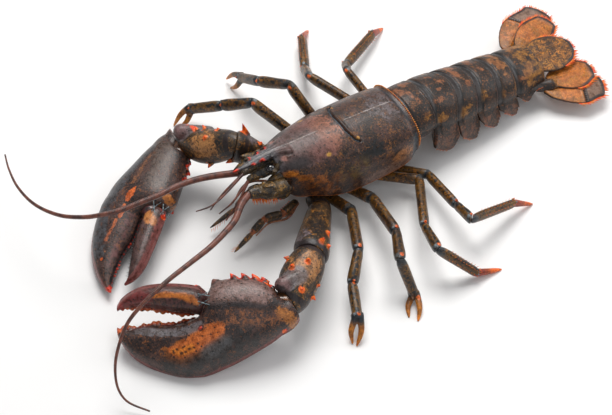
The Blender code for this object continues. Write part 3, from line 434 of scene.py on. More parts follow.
def shell_finish(
        name, ground, cloud, mottle, size=1.0, gloss=0.3, pits=0.00012, cover=0.5, fleck=FLECK_BLACK,
        specks=1.0):
    """Hard shell: clouded ground, mottling, the painted marks with ragged edges, dark flecks and grain."""
    material, tree, shader, place = blank_finish(name)
    mottled = painted_on(tree, "mottle")["Fac"]
    tint = painted_on(tree, "tint")
    laid = tint["Alpha"]
    colour = blend(tree, blotches(tree, place, 90 / size, 0.4, 0.62, 6, 0.7), ground, cloud)
    patches = blotches(tree, place, 150 / size, 0.66 - 0.2 * cover, 0.7 - 0.2 * cover, 6, 0.72, 0.5)
    strands = blotches(tree, place, 520 / size, 0.45, 0.55, 3, 0.6, 1.2)
    colour = blend(tree, product(tree, product(tree, patches, strands), mottled), colour, mottle)
    sparks = blotches(tree, place, 880 / size, 0.57, 0.65, 3, 0.6, 0.6)
    colour = blend(tree, product(tree, scaled(tree, sparks, 0.75), mottled), colour, mottle)
    edge = product(tree, laid, scaled(tree, laid, -1.0, 1.0))
    ragged = worked(tree, "MULTIPLY_ADD", cloudy(tree, place, 210 / size, 7.0, 0.78, 0.6), 13.0, -6.5)
    crisp = stepped(tree, worked(tree, "MULTIPLY_ADD", edge, ragged, laid), 0.36, 0.6)
    cap = worked(tree, "MULTIPLY_ADD", edge, 3.0, laid, clamp=True)
    shades = blotches(tree, place, 300 / size, 0.34, 0.6, 5)
    shades = blend(tree, shades, (0.62, 0.52, 0.45), (1.15, 1.12, 1.1))
    marked = blend(tree, 1.0, tint["Color"], shades, "MULTIPLY")
    colour = blend(tree, product(tree, crisp, cap), colour, marked)
    flecks = blotches(tree, place, 640 / size, 0.56, 0.62, 3, 0.55, 0.4)
    dots = add_node(tree, "ShaderNodeTexVoronoi", Vector=place, Scale=430 / size)
    dotted = stepped(tree, dots.outputs["Distance"], 0.3, 0.2)
    chosen = add_node(tree, "ShaderNodeSeparateColor", Color=dots.outputs["Color"]).outputs[0]
    few = worked(tree, "GREATER_THAN", chosen, 0.55)
    bare = scaled(tree, laid, -0.75 * specks, specks)
    dark = worked(
        tree, "MAXIMUM", product(tree, flecks, bare), scaled(tree, product(tree, dotted, few), 0.9 * specks))
    colour = blend(tree, dark, colour, fleck)
    grain = blotches(tree, place, 1400, 0.3, 0.7, 2)
    colour = blend(tree, 1.0, colour, blend(tree, grain, (0.72,) * 3, (1.28,) * 3), "MULTIPLY")
    tree.links.new(colour, shader.inputs["Base Color"])
    uneven = blotches(tree, place, 300, 0.3, 0.7, 3)
    tree.links.new(worked(tree, "MULTIPLY_ADD", uneven, 0.14, gloss), shader.inputs["Roughness"])
    dimples = add_node(tree, "ShaderNodeTexVoronoi", Vector=place, Scale=1100.0)
    relief = worked(tree, "MULTIPLY_ADD", dimples.outputs["Distance"], 0.6, grain)
    emboss(tree, shader, relief, 0.6, pits)
    shader.inputs["Specular IOR Level"].default_value = 0.36
    shader.inputs["Coat Weight"].default_value = 0.1
    shader.inputs["Coat Roughness"].default_value = 0.15
    return material


def mount(piece, slot, *nodes):
    """Smooths the piece, lets it ride on the body and hides the imported nodes it replaces; the slot is not
    used.
    """
    piece.data.shade_smooth()
    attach(piece, "root")
    if nodes:
        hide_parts(*nodes)


def dress(piece, finish, slot, nodes, marks=(), mottle=1.0):
    """Lays the coloured marks on the piece in their order, gives it its finish and mounts it."""
    count = len(piece.data.vertices)
    tint = np.zeros((count, 4))
    for field, colour in marks:
        cover = np.clip(field, 0, 1)
        alpha = cover + tint[:, 3] * (1 - cover)
        share = np.where(alpha > 0, cover / np.maximum(alpha, 1e-9), 0)[:, None]
        tint[:, :3] = tint[:, :3] * (1 - share) + np.array(colour) * share
        tint[:, 3] = alpha
    painted = piece.data.attributes.new("tint", "FLOAT_COLOR", "POINT")
    painted.data.foreach_set("color", tint.astype(np.float32).ravel())
    spotted = piece.data.attributes.new("mottle", "FLOAT", "POINT")
    spotted.data.foreach_set("value", np.broadcast_to(mottle, count).astype(np.float32).copy())
    piece.data.materials.clear()
    piece.data.materials.append(finish)
    mount(piece, slot, *nodes)


def carapace_point(y, q):
    """Outside of the carapace: q is 0 on the ridge and 1 or -1 at the hem."""
    ridge, waist, hem = through(RIDGE, y), through(WAIST, y), through(HEM, y)
    half, hem_half = through(HALF_WIDTH, y), through(HEM_HALF, y)
    share = abs(q)
    if share < SIDE_SHARE:
        turn = share / SIDE_SHARE * pi / 2
        x = half * sin(turn)
        z = waist + (ridge - waist) * cos(turn)
    else:
        s = (share - SIDE_SHARE) / (1 - SIDE_SHARE)
        x = half + (hem_half - half) * s * s
        z = waist + (hem - waist) * s
    return Vector((copysign(x, q), y + through(LEAN, y) * (ridge - z), z))


def groove_depth(spots):
    """How far the shell is pressed in along its grooves and raised on their banks."""
    sunk = np.zeros(len(spots))
    for path, depth, half in GROOVES:
        line = [carapace_point(*stop) for a, b in zip(path, path[1:]) for stop in (
            a, tuple(x + (y - x) / 2 for x, y in zip(a, b)))]
        line.append(carapace_point(*path[-1]))
        away = near_path(spots, line)
        bank = BANK_HEIGHT * np.exp(-(((away - BANK_AWAY * half) / half) ** 2))
        sunk -= depth * np.exp(-((away / half) ** 2)) - bank
    return sunk


shell_rings = []
for y in spread(*CARAPACE_ENDS, SHELL_RINGS):
    ring = [carapace_point(y, q) for q in spread(-1, 1, SHELL_STOPS)]
    out = sum(height * exp(-(((y - place) / wide) ** 2)) for place, height, wide in REAR_RIM)
    for point in ring:
        middle = Vector((0, point.y, through(WAIST, y)))
        point += (point - middle).normalized() * out * RIM_SHARE
    hem, lag = through(HEM, y), through(LEAN, y)
    inside, roof = through(HEM_HALF, y) - SHELL_WALL, hem + ROOF_ABOVE_HEM
    for x, z in ((inside, hem), (inside - ROOF_STEP, roof), (ROOF_STEP - inside, roof), (-inside, hem)):
        ring.append(Vector((x, y + lag * (through(RIDGE, y) - z), z)))
    shell_rings.append(ring)
beak = []
for y in spread(ROSTRUM[0][0], ROSTRUM[-1][0], 30):
    half, top, thick = (through([(-row[0], row[k]) for row in ROSTRUM], -y) for k in (1, 2, 3))
    under = half * 0.7
    rim = half * 0.22
    section = (
        (-half, top), (-half * 0.82, top + rim), (-half * 0.45, top + 0.1), (0, top + BEAK_CROWN),
        (half * 0.45, top + 0.1), (half * 0.82, top + rim), (half, top),
        (under, top - thick * 0.8), (0, top - thick), (-under, top - thick * 0.8))
    beak.append([Vector((x, y, z)) for x, z in section])
beak.append([BEAK_TIP])
front_spines = []
for root, tip, radius in FRONT_SPINES:
    for sign in (1, -1):
        mirrored = Vector((sign, 1, 1))
        front_spines.append((mirrored * Vector(root), mirrored * Vector(tip), radius))
carapace = cast(
    "carapace_shell", [loft(shell_rings), loft(beak)] + [horn(*spine) for spine in front_spines], 0.55, 4)
spots = spots_of(carapace)
pressed = groove_depth(spots)
facing = np.empty(len(spots) * 3)
carapace.data.vertices.foreach_get("normal", facing)
moved = (spots + facing.reshape(-1, 3) * pressed[:, None] + np.array(HOME)) * MM
carapace.data.vertices.foreach_set("co", moved.ravel())

SHELL = shell_finish("dark_shell", BLACK_BROWN, MAROON_BROWN, RUST, 0.9, 0.27, 0.00012, 0.62)
beak_line = [(0, y, top + BEAK_CROWN) for y, _, top, _ in ROSTRUM[:5]]
ridge_line = [carapace_point(y, 0) for y in spread(-97, -62, 8)]
rear_line = [carapace_point(y, 0) for y in spread(-42, -8, 8)]
rear_edge = [carapace_point(RIM_Y, q) for q in spread(-1, 1, 40)]
furrow = [carapace_point(FURROW_Y, q) for q in spread(-1, 1, 40)]
hem_line = [carapace_point(y, 1) for y in spread(-92, -6, 30)]
x, y, z = spots.T
side = np.abs(x)
folded = np.stack((side, y, z), 1)
roof = soft(z, 45, 53)
carapace_marks = [
    # The top of the shell: its purple-brown front with a painted pinkish sheen, and a painted grey sheen over
    # the rear half.
    (0.7 * roof * soft(y, -52, -66), (0.1, 0.06, 0.057)),
    (0.6 * roof * soft(y, -40, -10), (0.105, 0.085, 0.09)),
    *((share * blob(folded, centre, reach), colour) for share, centre, reach, colour in CARAPACE_PATCHES),
    (soft(-pressed, 0.2, 0.6), (0.006, 0.008, 0.012)),
    (0.9 * soft(-pressed, 1.25, 1.55), (0.1, 0.13, 0.16)),
    # Painted sheen: blue-grey over the beak in front of the eyes.
    (0.8 * soft(y, -90, -98), (0.06, 0.068, 0.082)),
    (0.8 * soft(near_path(spots, beak_line), 0.7, 0.25), (0.2, 0.19, 0.2)),
    (soft(y, -118, -120.5), SCARLET),
    (0.8 * soft(near_path(spots, ridge_line), 0.62, 0.2), PALE_LINE),
    (0.8 * soft(near_path(spots, rear_line), 0.62, 0.2), PALE_LINE),
    (0.95 * soft(near_path(spots, hem_line), 1.9, 0.8), (0.4, 0.12, 0.03)),
    (0.8 * soft(near_path(spots, furrow), 2.6, 1.2) * soft(z, 46, 36), (0.03, 0.045, 0.06)),
    (0.7 * soft(near_path(spots, furrow), 1.6, 0.8) * soft(z, 40, 48), (0.02, 0.02, 0.025)),
    (0.8 * soft(near_path(spots, rear_edge), 1.0, 0.6), (0.12, 0.04, 0.015)),
    (tips(spots, front_spines[1:6], 0.6), SCARLET),
    (0.8 * tips(spots, front_spines[6:], 0.95), (0.35, 0.17, 0.14)),
]
side_mottle = np.clip(1.2 - 0.6 * roof, 0, 1)
dress(carapace, SHELL, "dark_shell", ["carapace"], carapace_marks, side_mottle)


# Beads along the carapace's rear rim. A row of small orange grains on the raised edge, the same
# shell as the carapace, each a little different in size.
BEAD_RADIUS = 0.5
BEAD_STEP = 1.35
BEAD_REACH = 0.84
BEAD_MIDDLE = 36
BEAD_LIFT = 0.6


def new_tree(name, *sockets):
    """An empty geometry tree with named inputs, what goes into it and what leaves it."""
    tree = bpy.data.node_groups.new(name, "GeometryNodeTree")
    tree.interface.new_socket("Geometry", in_out="INPUT", socket_type="NodeSocketGeometry")
    for label, kind in sockets:
        tree.interface.new_socket(label, in_out="INPUT", socket_type="NodeSocket" + kind)
    tree.interface.new_socket("Geometry", in_out="OUTPUT", socket_type="NodeSocketGeometry")
    return tree, tree.nodes.new("NodeGroupInput").outputs, tree.nodes.new("NodeGroupOutput").inputs


def close_tree(tree, leaving, geometry, material):
    """Ends the tree with realized instances that carry their material."""
    real = add_node(tree, "GeometryNodeRealizeInstances", Geometry=geometry)
    clad = add_node(
        tree, "GeometryNodeSetMaterial", Geometry=real, Material=material)
    tree.links.new(clad.outputs["Geometry"], leaving["Geometry"])


def grow(piece, tree, **values):
    """Runs the tree on the piece with these inputs and keeps the result as its mesh."""
    modifier = piece.modifiers.new("grow", "NODES")
    modifier.node_group = tree
    for socket in tree.interface.items_tree:
        if socket.in_out == "INPUT" and socket.name.replace(" ", "_") in values:
            modifier[socket.identifier] = values[socket.name.replace(" ", "_")]
    return settle(piece)


def line_object(name, route, **columns):
    """A bare line of points, with columns of vectors as attributes."""
    mesh = bpy.data.meshes.new(name)
    edges = [(k, k + 1) for k in range(len(route) - 1)]
    mesh.from_pydata([(Vector(p) + HOME) * MM for p in route], edges, [])
    for label, values in columns.items():
        values = np.array([tuple(v) for v in values], np.float32)
        mesh.attributes.new(label, "FLOAT_VECTOR", "POINT").data.foreach_set("vector", values.ravel())
    piece = bpy.data.objects.new(name, mesh)
    bpy.context.scene.collection.objects.link(piece)
    return piece


BEADS, given, leaving = new_tree(
    "rim_beads", ("Spacing", "Float"), ("Radius", "Float"), ("Seed", "Int"), ("Material", "Material"))
rim = add_node(BEADS, "GeometryNodeMeshToCurve", Mesh=given["Geometry"])
stops = add_node(
    BEADS, "GeometryNodeCurveToPoints", {"mode": "LENGTH"},
    Curve=rim, Length=given["Spacing"])
grain = add_node(
    BEADS, "GeometryNodeMeshIcoSphere", Radius=given["Radius"], Subdivisions=2)
uneven = add_node(BEADS, "FunctionNodeRandomValue", _2=0.75, _3=1.15, Seed=given["Seed"])
placed = add_node(
    BEADS, "GeometryNodeInstanceOnPoints", Points=stops,
    Instance=grain, Scale=uneven.outputs["Value"])
close_tree(BEADS, leaving, placed, given["Material"])


def plain_finish(name, colour, roughness, coat=0.0, patch=None, patch_scale=400.0):
    """One colour broken by soft patches of a second one, with a fine relief."""
    material, tree, shader, place = blank_finish(name)
    field = blotches(tree, place, patch_scale, 0.4, 0.62)
    tree.links.new(blend(tree, field, colour, patch or colour), shader.inputs["Base Color"])
    emboss(tree, shader, blotches(tree, place, patch_scale * 3, 0.3, 0.7, 2), 0.5, 0.0001)
    shader.inputs["Roughness"].default_value = roughness
    shader.inputs["Coat Weight"].default_value = coat
    return material


ORANGE_GRAIN = plain_finish("orange_grain", (0.75, 0.27, 0.025), 0.35, 0.2, (0.5, 0.1, 0.01))
bead_route = [carapace_point(RIM_Y, q) for q in spread(-BEAD_REACH, BEAD_REACH, 60)]
bead_route = [p + (p - Vector((0, p.y, BEAD_MIDDLE))).normalized() * BEAD_LIFT for p in bead_route]
beads = grow(
    line_object("carapace_rim_beads", bead_route), BEADS,
    Spacing=BEAD_STEP * MM, Radius=BEAD_RADIUS * MM, Seed=5, Material=ORANGE_GRAIN)
mount(beads, "dark_shell")


# Thorax. The paler, thinner skin under the shell, with the row of leg sockets along each side. It
# is closed above by the carapace and meets the roots of legs, arms and mouth feelers.
BELLY = ((-92, 25), (-82, 14), (-72, 7), (-55, 5.5), (-25, 5.5), (-8, 10))
BELLY_HALF = ((-92, 4), (-82, 6), (-72, 7), (-8, 7))
THORAX_ENDS = (-92, -8)
SIDE_X = 11.5
SIDE_TOP = 17.5
SHELL_GAP = 0.45
SOCKETS = (-63, -49.5, -32, -19)
SOCKET_HEIGHT = 9
SOCKET_REACH = (4, 4.5, 5)
THORAX_TAN = (0.3, 0.15, 0.07)
BROWN_SKIN = (0.12, 0.06, 0.03)


def eased(outline, rounds=2):
    """A closed outline with its corners cut back evenly."""
    for _ in range(rounds):
        shorter = []
        for here, ahead in zip(outline, outline[1:] + outline[:1]):
            shorter.append(here * 0.8 + ahead * 0.2)
            shorter.append(here * 0.2 + ahead * 0.8)
        outline = shorter
    return outline


thorax_rings = []
for y in spread(*THORAX_ENDS, 60):
    low, half, lag = through(BELLY, y), through(BELLY_HALF, y), through(LEAN, y)
    roof = through(HEM, y) + ROOF_ABOVE_HEM - SHELL_GAP
    shoulder = through(HEM_HALF, y) - SHELL_WALL - 3.2
    side = min(SIDE_X, shoulder)
    side_top = min(max(SIDE_TOP, low + 2), roof - 2)
    rib = 0.5 * sum(exp(-(((y - at) / 2.2) ** 2)) for at in SOCKETS)
    outline = [
        (half * 0.3, low + 1.2), (half, low - rib), (side, low + 2.5), (side, side_top), (shoulder, roof)]
    outline += [(-x, z) for x, z in reversed(outline)]
    thorax_rings.append(eased([Vector((x, y + lag * (through(RIDGE, y) - z), z)) for x, z in outline]))
thorax = cast("thorax_skin", [loft(thorax_rings)], 0.7, 2)
spots = spots_of(thorax)
LEATHER = shell_finish("thorax_skin", BROWN_SKIN, THORAX_TAN, RUST, 0.8, 0.45, 0.0002)
thorax_marks = [
    (0.7 * blob(spots, (sign * SIDE_X, at, SOCKET_HEIGHT), SOCKET_REACH), BLUE_BLACK)
    for at in SOCKETS for sign in (1, -1)]
dress(thorax, LEATHER, "underside", ["thorax"], thorax_marks)


# Eyes. Each is a black, wet-looking cornea on a short brown stalk, turned as one round form and set
# in its socket under the edge of the beak. A clear coat over a grid of facets gives it its shine.
EYE_ROOT = Vector((5, -95.6, 50.4))
EYE_CENTRE = Vector((6.7, -100.3, 50.8))
EYE_PROFILE = (
    (-0.25, 1.9), (0, 2), (0.3, 1.9), (0.45, 2), (0.58, 2.3), (0.75, 2.6), (1, 2.7), (1.2, 2.5),
    (1.38, 2), (1.49, 1.25), (1.53, 0.6))
CORNEA_FROM = 0.66
CORNEA_BLACK = (0.004, 0.004, 0.006)
EYE_STRETCH = (0.12, 1.53)
EYE_END = 1.56


def cornea_finish():
    """Black glass with a clear coat over a fine grid of facets, and a brown stalk."""
    material, tree, shader, place = blank_finish("cornea")
    tint = painted_on(tree, "tint")
    stalk = blend(tree, blotches(tree, place, 700, 0.4, 0.62), BROWN_SKIN, BLACK_BROWN)
    tree.links.new(blend(tree, tint["Alpha"], stalk, tint["Color"]), shader.inputs["Base Color"])
    facets = add_node(tree, "ShaderNodeTexVoronoi", Vector=place, Scale=6000.0)
    emboss(tree, shader, facets.outputs["Distance"], 0.15, 0.00003)
    shader.inputs["Roughness"].default_value = 0.12
    shader.inputs["Coat Weight"].default_value = 1.0
    shader.inputs["Coat Roughness"].default_value = 0.03
    return material


CORNEA = cornea_finish()
eye_axis = (EYE_CENTRE - EYE_ROOT).normalized()
eye_side = eye_axis.cross(UP).normalized()
eye_length = (EYE_CENTRE - EYE_ROOT).length
eye_rings = [
    oval(EYE_ROOT + eye_axis * eye_length * s, eye_side, eye_side.cross(eye_axis), r, r, 32)
    for s, r in ((s, through(EYE_PROFILE, s)) for s in spread(*EYE_STRETCH, 26))]
eye_rings.append([EYE_ROOT + eye_axis * eye_length * EYE_END])
for name, sign in (("eye_left", 1), ("eye_right", -1)):
    flip = Vector((sign, 1, 1))
    eye = piece_of(name + "_ball", [loft([[flip * p for p in ring] for ring in eye_rings])])
    along = (spots_of(eye) * np.array(flip) - np.array(EYE_ROOT)) @ np.array(eye_axis) / eye_length
    dome = soft(along, CORNEA_FROM - 0.06, CORNEA_FROM)
    dress(eye, CORNEA, "eye_black", [name], [(dome, CORNEA_BLACK)])


# Face. The short wall of hard shell between the eyes and under the beak, which carries the feelers.
# It is cast in one with the rims of the eye sockets and the cheeks, and mottled olive, gold and black.
FACE_WALL = ((-90, 11, 8), (-95, 10, 7.6), (-98, 8.6, 6), (-99.4, 6, 3.4))
FACE_HEIGHT = 46.6
SOCKET_RIM = ((7.6, -94, 53.6), (9.2, -99, 50.6), (7.6, -99.6, 46.2))
CHEEK = ((9, -94, 43.5), (8.6, -104, 42.6), 3.4)
FACE_OLIVE = (0.075, 0.046, 0.017)
FACE_GOLD = (0.27, 0.14, 0.035)
FACE_BLUE = (0.03, 0.045, 0.06)
face_rings = []
for y, half, rise in FACE_WALL:
    face_rings.append(oval(Vector((0, y, FACE_HEIGHT)), Vector((1, 0, 0)), UP, half, rise, 32, 0.85))
face_forms = [loft(face_rings)]
for sign in (1, -1):
    mirrored = Vector((sign, 1, 1))
    for near, far in zip(SOCKET_RIM, SOCKET_RIM[1:]):
        face_forms.append(horn(mirrored * Vector(near), mirrored * Vector(far), 1.5, 1, 12, 1))
    face_forms.append(horn(mirrored * Vector(CHEEK[0]), mirrored * Vector(CHEEK[1]), CHEEK[2], 0.8, 14, 2))
face = cast("face_shell", face_forms, 0.35, 2)
FACE_SHELL = shell_finish("face_shell", (0.014, 0.014, 0.015), FACE_OLIVE, FACE_GOLD, 0.6, 0.3, 0.00015, 0.62)
spots = spots_of(face)
dress(face, FACE_SHELL, "dark_shell", [], [(0.8 * soft(spots[:, 2], 43.5, 40.5), FACE_BLUE)])


# Antennae. Each has a stout mottled base with a pointed scale beside it and a comb of orange
# bristles below, and a long whip of short rings that bends freely and narrows to its tip.
FLAGELLUM_LEFT = (
    (11.5, -119, 43.5), (18, -128, 46.5), (29, -139.5, 49.5), (36.5, -152.5, 52), (42, -164.5, 54),
    (46.5, -178, 56), (51.5, -199, 56), (54.5, -215, 52), (57, -228.5, 44), (63, -239.5, 32),
    (68, -244.5, 22), (74, -246.5, 13), (80.5, -244.5, 7), (90.5, -236, 3),
)
FLAGELLUM_RIGHT = (
    (-8.5, -115.5, 41.8), (-9, -133, 49), (-9, -145.5, 53), (-8, -158.5, 56), (-7, -171, 57),
    (-8, -183, 57), (-10.5, -194, 55), (-15, -204, 53), (-21.5, -213, 50), (-34, -223.5, 46),
    (-53.5, -230.5, 41), (-75.5, -231.5, 36), (-96.5, -228, 31), (-113.5, -223, 26),
)
FLAGELLUM_THICK = (2.1, 0.5)
FLAGELLUM_RING = 0.95
WHIP_STOPS = 90
WHIP_RIDGE = 0.24
STALK_ROOTS = ((14, -92, 38.5), (-12.5, -92, 40))
STALK_STOPS = 30
PEDUNCLE_STOPS = (
    (0, 5.4), (0.2, 5.7), (0.33, 5.1), (0.37, 5.5), (0.6, 5.3), (0.74, 4.1), (0.8, 4.3), (1, 3.0))
SCALE_ROOT = (12.6, -97.5, 43)
SCALE_TIP = (15.3, -108.5, 47)
SCALE_SHAPE = ((-0.1, 0.7), (0.25, 1), (0.6, 0.85), (0.85, 0.4), (1, 0.06))
SCALE_HALF = 2.6
SCALE_THICK = 1.3
STALK_FLAP = ((14.5, -91, 36), (16.2, -97, 35), (15.4, -103.5, 36.5))
FLAP_STOPS = 14
FLAP_EDGE = Vector((2, 0, 1.6))
# Each lump: its share of the stalk's length, its turn round the stalk, its height and its radius.
STALK_LUMPS = (
    (0.3, 100, 0.5, 1.6), (0.42, 60, 0.9, 1.5), (0.55, 130, 0.7, 1.4), (0.62, 80, 1.2, 1.2),
    (0.78, 105, 1.3, 1.1), (0.75, 40, 1, 1.1), (0.5, 15, 0.8, 1.4), (0.66, 340, 0.9, 1.2),
)
COMB_SPAN = (0.22, 0.9)
COMB_COUNT = 15
COMB_HEIGHT = 4.4
COMB_THICK = 0.62
FRONT_PLANE = Vector((0, -97.3, 57.4))
FRONT_NORMAL = Vector((0, -1, -LEAN[0][1])).normalized()


def smooth_route(points, count):
    """Evenly spaced places on the smooth curve through the points."""
    points = [Vector(p) for p in points]
    at = [0.0]
    for near, far in zip(points, points[1:]):
        at.append(at[-1] + (far - near).length)
    return [through(list(zip(at, points)), t) for t in spread(0, at[-1], count)]


def tube(route, radii, sides=16):
    """A tapering tube along a route."""
    rings = []
    for k, point in enumerate(route):
        axis = (route[min(k + 1, len(route) - 1)] - route[max(k - 1, 0)]).normalized()
        side = axis.cross(UP).normalized()
        rings.append(oval(point, side, side.cross(axis), radii[k], radii[k], sides))
    return rings


def slide_to_plane(ring, axis, point, normal):
    """The ring's points moved along axis onto the plane."""
    return [p + axis * ((point - p).dot(normal) / axis.dot(normal)) for p in ring]


WHIP, given, leaving = new_tree(
    "ringed_whip", ("Ring Length", "Float"), ("Root Radius", "Float"), ("Tip Radius", "Float"),
    ("Ridge", "Float"), ("Material", "Material"))
path = add_node(WHIP, "GeometryNodeMeshToCurve", Mesh=given["Geometry"])
fine = add_node(
    WHIP, "GeometryNodeResampleCurve", {"mode": "LENGTH"}, Curve=path,
    Length=worked(WHIP, "DIVIDE", given["Ring Length"], 4.0))
place = add_node(WHIP, "GeometryNodeSplineParameter")
taper = add_node(
    WHIP, "ShaderNodeMapRange", Value=place.outputs["Factor"], From_Min=0.0, From_Max=1.0,
    To_Min=given["Root Radius"], To_Max=given["Tip Radius"])
turns = worked(WHIP, "DIVIDE", place.outputs["Length"], given["Ring Length"])
wave = worked(WHIP, "PINGPONG", turns, 0.5)
ridge = worked(WHIP, "MULTIPLY_ADD", wave, given["Ridge"], 1.0)
radius = product(WHIP, taper, ridge)
sized = add_node(WHIP, "GeometryNodeSetCurveRadius", Curve=fine, Radius=radius)
ring = add_node(WHIP, "GeometryNodeCurvePrimitiveCircle", Resolution=12, Radius=1.0)
walled = add_node(
    WHIP, "GeometryNodeCurveToMesh", Curve=sized, Profile_Curve=ring,
    Scale=radius, Fill_Caps=True)
close_tree(WHIP, leaving, walled, given["Material"])

BRISTLES, given, leaving = new_tree(
    "bristles", ("Length", "Float"), ("Thickness", "Float"), ("Uneven", "Float"), ("Seed", "Int"),
    ("Material", "Material"))
hair = add_node(
    BRISTLES, "GeometryNodeMeshCone", Vertices=5, Side_Segments=3, Radius_Top=0.12, Radius_Bottom=1.0,
    Depth=1.0)
way = add_node(
    BRISTLES, "GeometryNodeInputNamedAttribute", {"data_type": "FLOAT_VECTOR"}, Name="way")
stray = add_node(
    BRISTLES, "FunctionNodeRandomValue", {"data_type": "FLOAT_VECTOR"},
    _0=(-0.18, -0.18, -0.18), _1=(0.18, 0.18, 0.18), Seed=given["Seed"])
aim = add_node(
    BRISTLES, "ShaderNodeVectorMath", {"operation": "ADD"},
    _0=way, _1=stray.outputs["Value"])
turned = add_node(
    BRISTLES, "FunctionNodeAlignRotationToVector", {"axis": "Z"}, Vector=aim)
least = worked(BRISTLES, "SUBTRACT", 1.0, given["Uneven"])
lengthen = add_node(BRISTLES, "FunctionNodeRandomValue", _2=least, _3=1.0, Seed=given["Seed"])
shape = add_node(
    BRISTLES, "ShaderNodeCombineXYZ", X=given["Thickness"], Y=given["Thickness"],
    Z=product(BRISTLES, lengthen.outputs["Value"], given["Length"]))
rooted = add_node(
    BRISTLES, "GeometryNodeInstanceOnPoints", Points=given["Geometry"],
    Instance=hair, Rotation=turned, Scale=shape)
close_tree(BRISTLES, leaving, rooted, given["Material"])


def fringe(name, roots, ways, length, thick, finish, slot, uneven, seed):
    """A row of tapering hairs, one at each root along its own way."""
    hairs = grow(
        line_object(name, roots, way=ways), BRISTLES,
        Length=length * MM, Thickness=thick * MM, Uneven=uneven, Seed=seed, Material=finish)
    mount(hairs, slot)


def ringed_whip(name, route, ring, first, last, ridge, *nodes):
    """A whip along the route, in rings of this length, from the first radius down to the last."""
    whip = grow(
        line_object(name, route), WHIP, Ring_Length=ring * MM, Root_Radius=first * MM,
        Tip_Radius=last * MM, Ridge=ridge, Material=WHIP_SKIN)
    mount(whip, "feeler", *nodes)


ARM_SHELL = shell_finish(
    "arm_shell", (0.012, 0.011, 0.011), (0.06, 0.035, 0.016), (0.3, 0.125, 0.025), 0.95, 0.3, 0.00012, 0.62)
WHIP_SKIN = plain_finish("whip_skin", (0.16, 0.046, 0.026), 0.34, 0.15, (0.05, 0.015, 0.011), 210.0)
ORANGE_HAIR = plain_finish("orange_hair", (0.8, 0.22, 0.02), 0.45, 0.0, (0.6, 0.08, 0.01), 300.0)
for name, points, root in zip(
        ("antenna_left", "antenna_right"), (FLAGELLUM_LEFT, FLAGELLUM_RIGHT), STALK_ROOTS):
    root, knuckle = Vector(root), Vector(points[0])
    sign = copysign(1, root.x)
    base = [root, root.lerp(knuckle, 0.35) + Vector((sign, 0, -0.5)), root.lerp(knuckle, 0.8), knuckle]
    base_line = smooth_route(base, STALK_STOPS)
    rings = tube(base_line, [through(PEDUNCLE_STOPS, s) for s in spread(0, 1, STALK_STOPS)], 32)
    rings[0] = slide_to_plane(rings[0], (base_line[1] - base_line[0]).normalized(), FRONT_PLANE, FRONT_NORMAL)
    blade_root, blade_tip = (Vector((sign * x, y, z)) for x, y, z in (SCALE_ROOT, SCALE_TIP))
    way = (blade_tip - blade_root).normalized()
    side = way.cross(UP).normalized()
    blade = [
        oval(blade_root.lerp(blade_tip, s), side, side.cross(way), SCALE_HALF * w, SCALE_THICK * w, 16)
        for s, w in ((s, through(SCALE_SHAPE, s)) for s in spread(-0.1, 1, 14))]
    flap_line = smooth_route([Vector((sign * x, y, z)) for x, y, z in STALK_FLAP], FLAP_STOPS)
    flap = tube(flap_line, [2.2 + 1.2 * sin(pi * k / (FLAP_STOPS - 1)) for k in range(FLAP_STOPS)])
    lumps = []
    for share, turn, height, radius in STALK_LUMPS:
        middle, size = base_line[round(share * (STALK_STOPS - 1))], through(PEDUNCLE_STOPS, share)
        across = Vector((sign * cos(radians(turn)), 0, sin(radians(turn))))
        top = middle + across * (size + height) + Vector((0, -1.2, 0))
        lumps.append((middle + across * (size - 0.4), top, radius))
    stalk = cast(
        name + "_stalk", [loft(rings), loft(blade), loft(flap)] + [horn(*lump, 0.5) for lump in lumps],
        0.35, 2)
    spots = spots_of(stalk)
    along = near_path(spots, [blade_tip, blade_tip - way * 1.6])
    flap_edge = [p + Vector((sign, 1, 1)) * FLAP_EDGE for p in flap_line[4:]]
    marks = [
        (0.5 * blob(spots, base_line[18], (6, 7, 6)), (0.2, 0.1, 0.05)),
        (soft(near_path(spots, [base_line[10], base_line[11]]), 6.2, 5.6) * 0.5, BLUE_BLACK),
        (soft(near_path(spots, [base_line[-1]] * 2 + [base_line[-2]]), 4.2, 3), (0.26, 0.06, 0.045)),
        (soft(along, 2.4, 1.4), SCARLET),
        (0.9 * soft(near_path(spots, flap_line), 3.6, 2.8), (0.06, 0.05, 0.045)),
        (0.9 * soft(near_path(spots, flap_edge), 1.6, 0.8), TIP_ORANGE),
        (0.6 * tips(spots, lumps, 0.3), (0.3, 0.12, 0.09)),
        (0.8 * tips(spots, lumps[3:6], 0.75), (0.6, 0.12, 0.06)),
    ]
    dress(stalk, FACE_SHELL, "arm_shell", [name + "_base"], marks)
    roots, ways = [], []
    down = Vector((sign * 0.35, -0.25, -1)).normalized()
    for share in spread(*COMB_SPAN, COMB_COUNT):
        middle = base_line[round(share * (STALK_STOPS - 1))]
        for lift_out in (0, 0.5):
            way = (down + Vector((sign * lift_out, 0, 0))).normalized()
            roots.append(middle + way * (through(PEDUNCLE_STOPS, share) - 0.6))
            ways.append(way)
    fringe(name + "_comb", roots, ways, COMB_HEIGHT, COMB_THICK, ORANGE_HAIR, "arm_shell", 0.4, 7)
    route = smooth_route(points, WHIP_STOPS)
    half = WHIP_STOPS // 2
    thick, thin = FLAGELLUM_THICK
    middle_thick = thick + (thin - thick) * half / (WHIP_STOPS - 1)
    outer_route = [route[half].lerp(route[half + 1], 0.1)] + route[half + 1:]
    for part, stretch, first, last in (
        (name + "_flagellum_1", route[: half + 1], thick, middle_thick),
        (name + "_flagellum_2", outer_route, middle_thick, thin),
    ):
        ringed_whip(part + "_whip", stretch, FLAGELLUM_RING, first, last, WHIP_RIDGE, part)


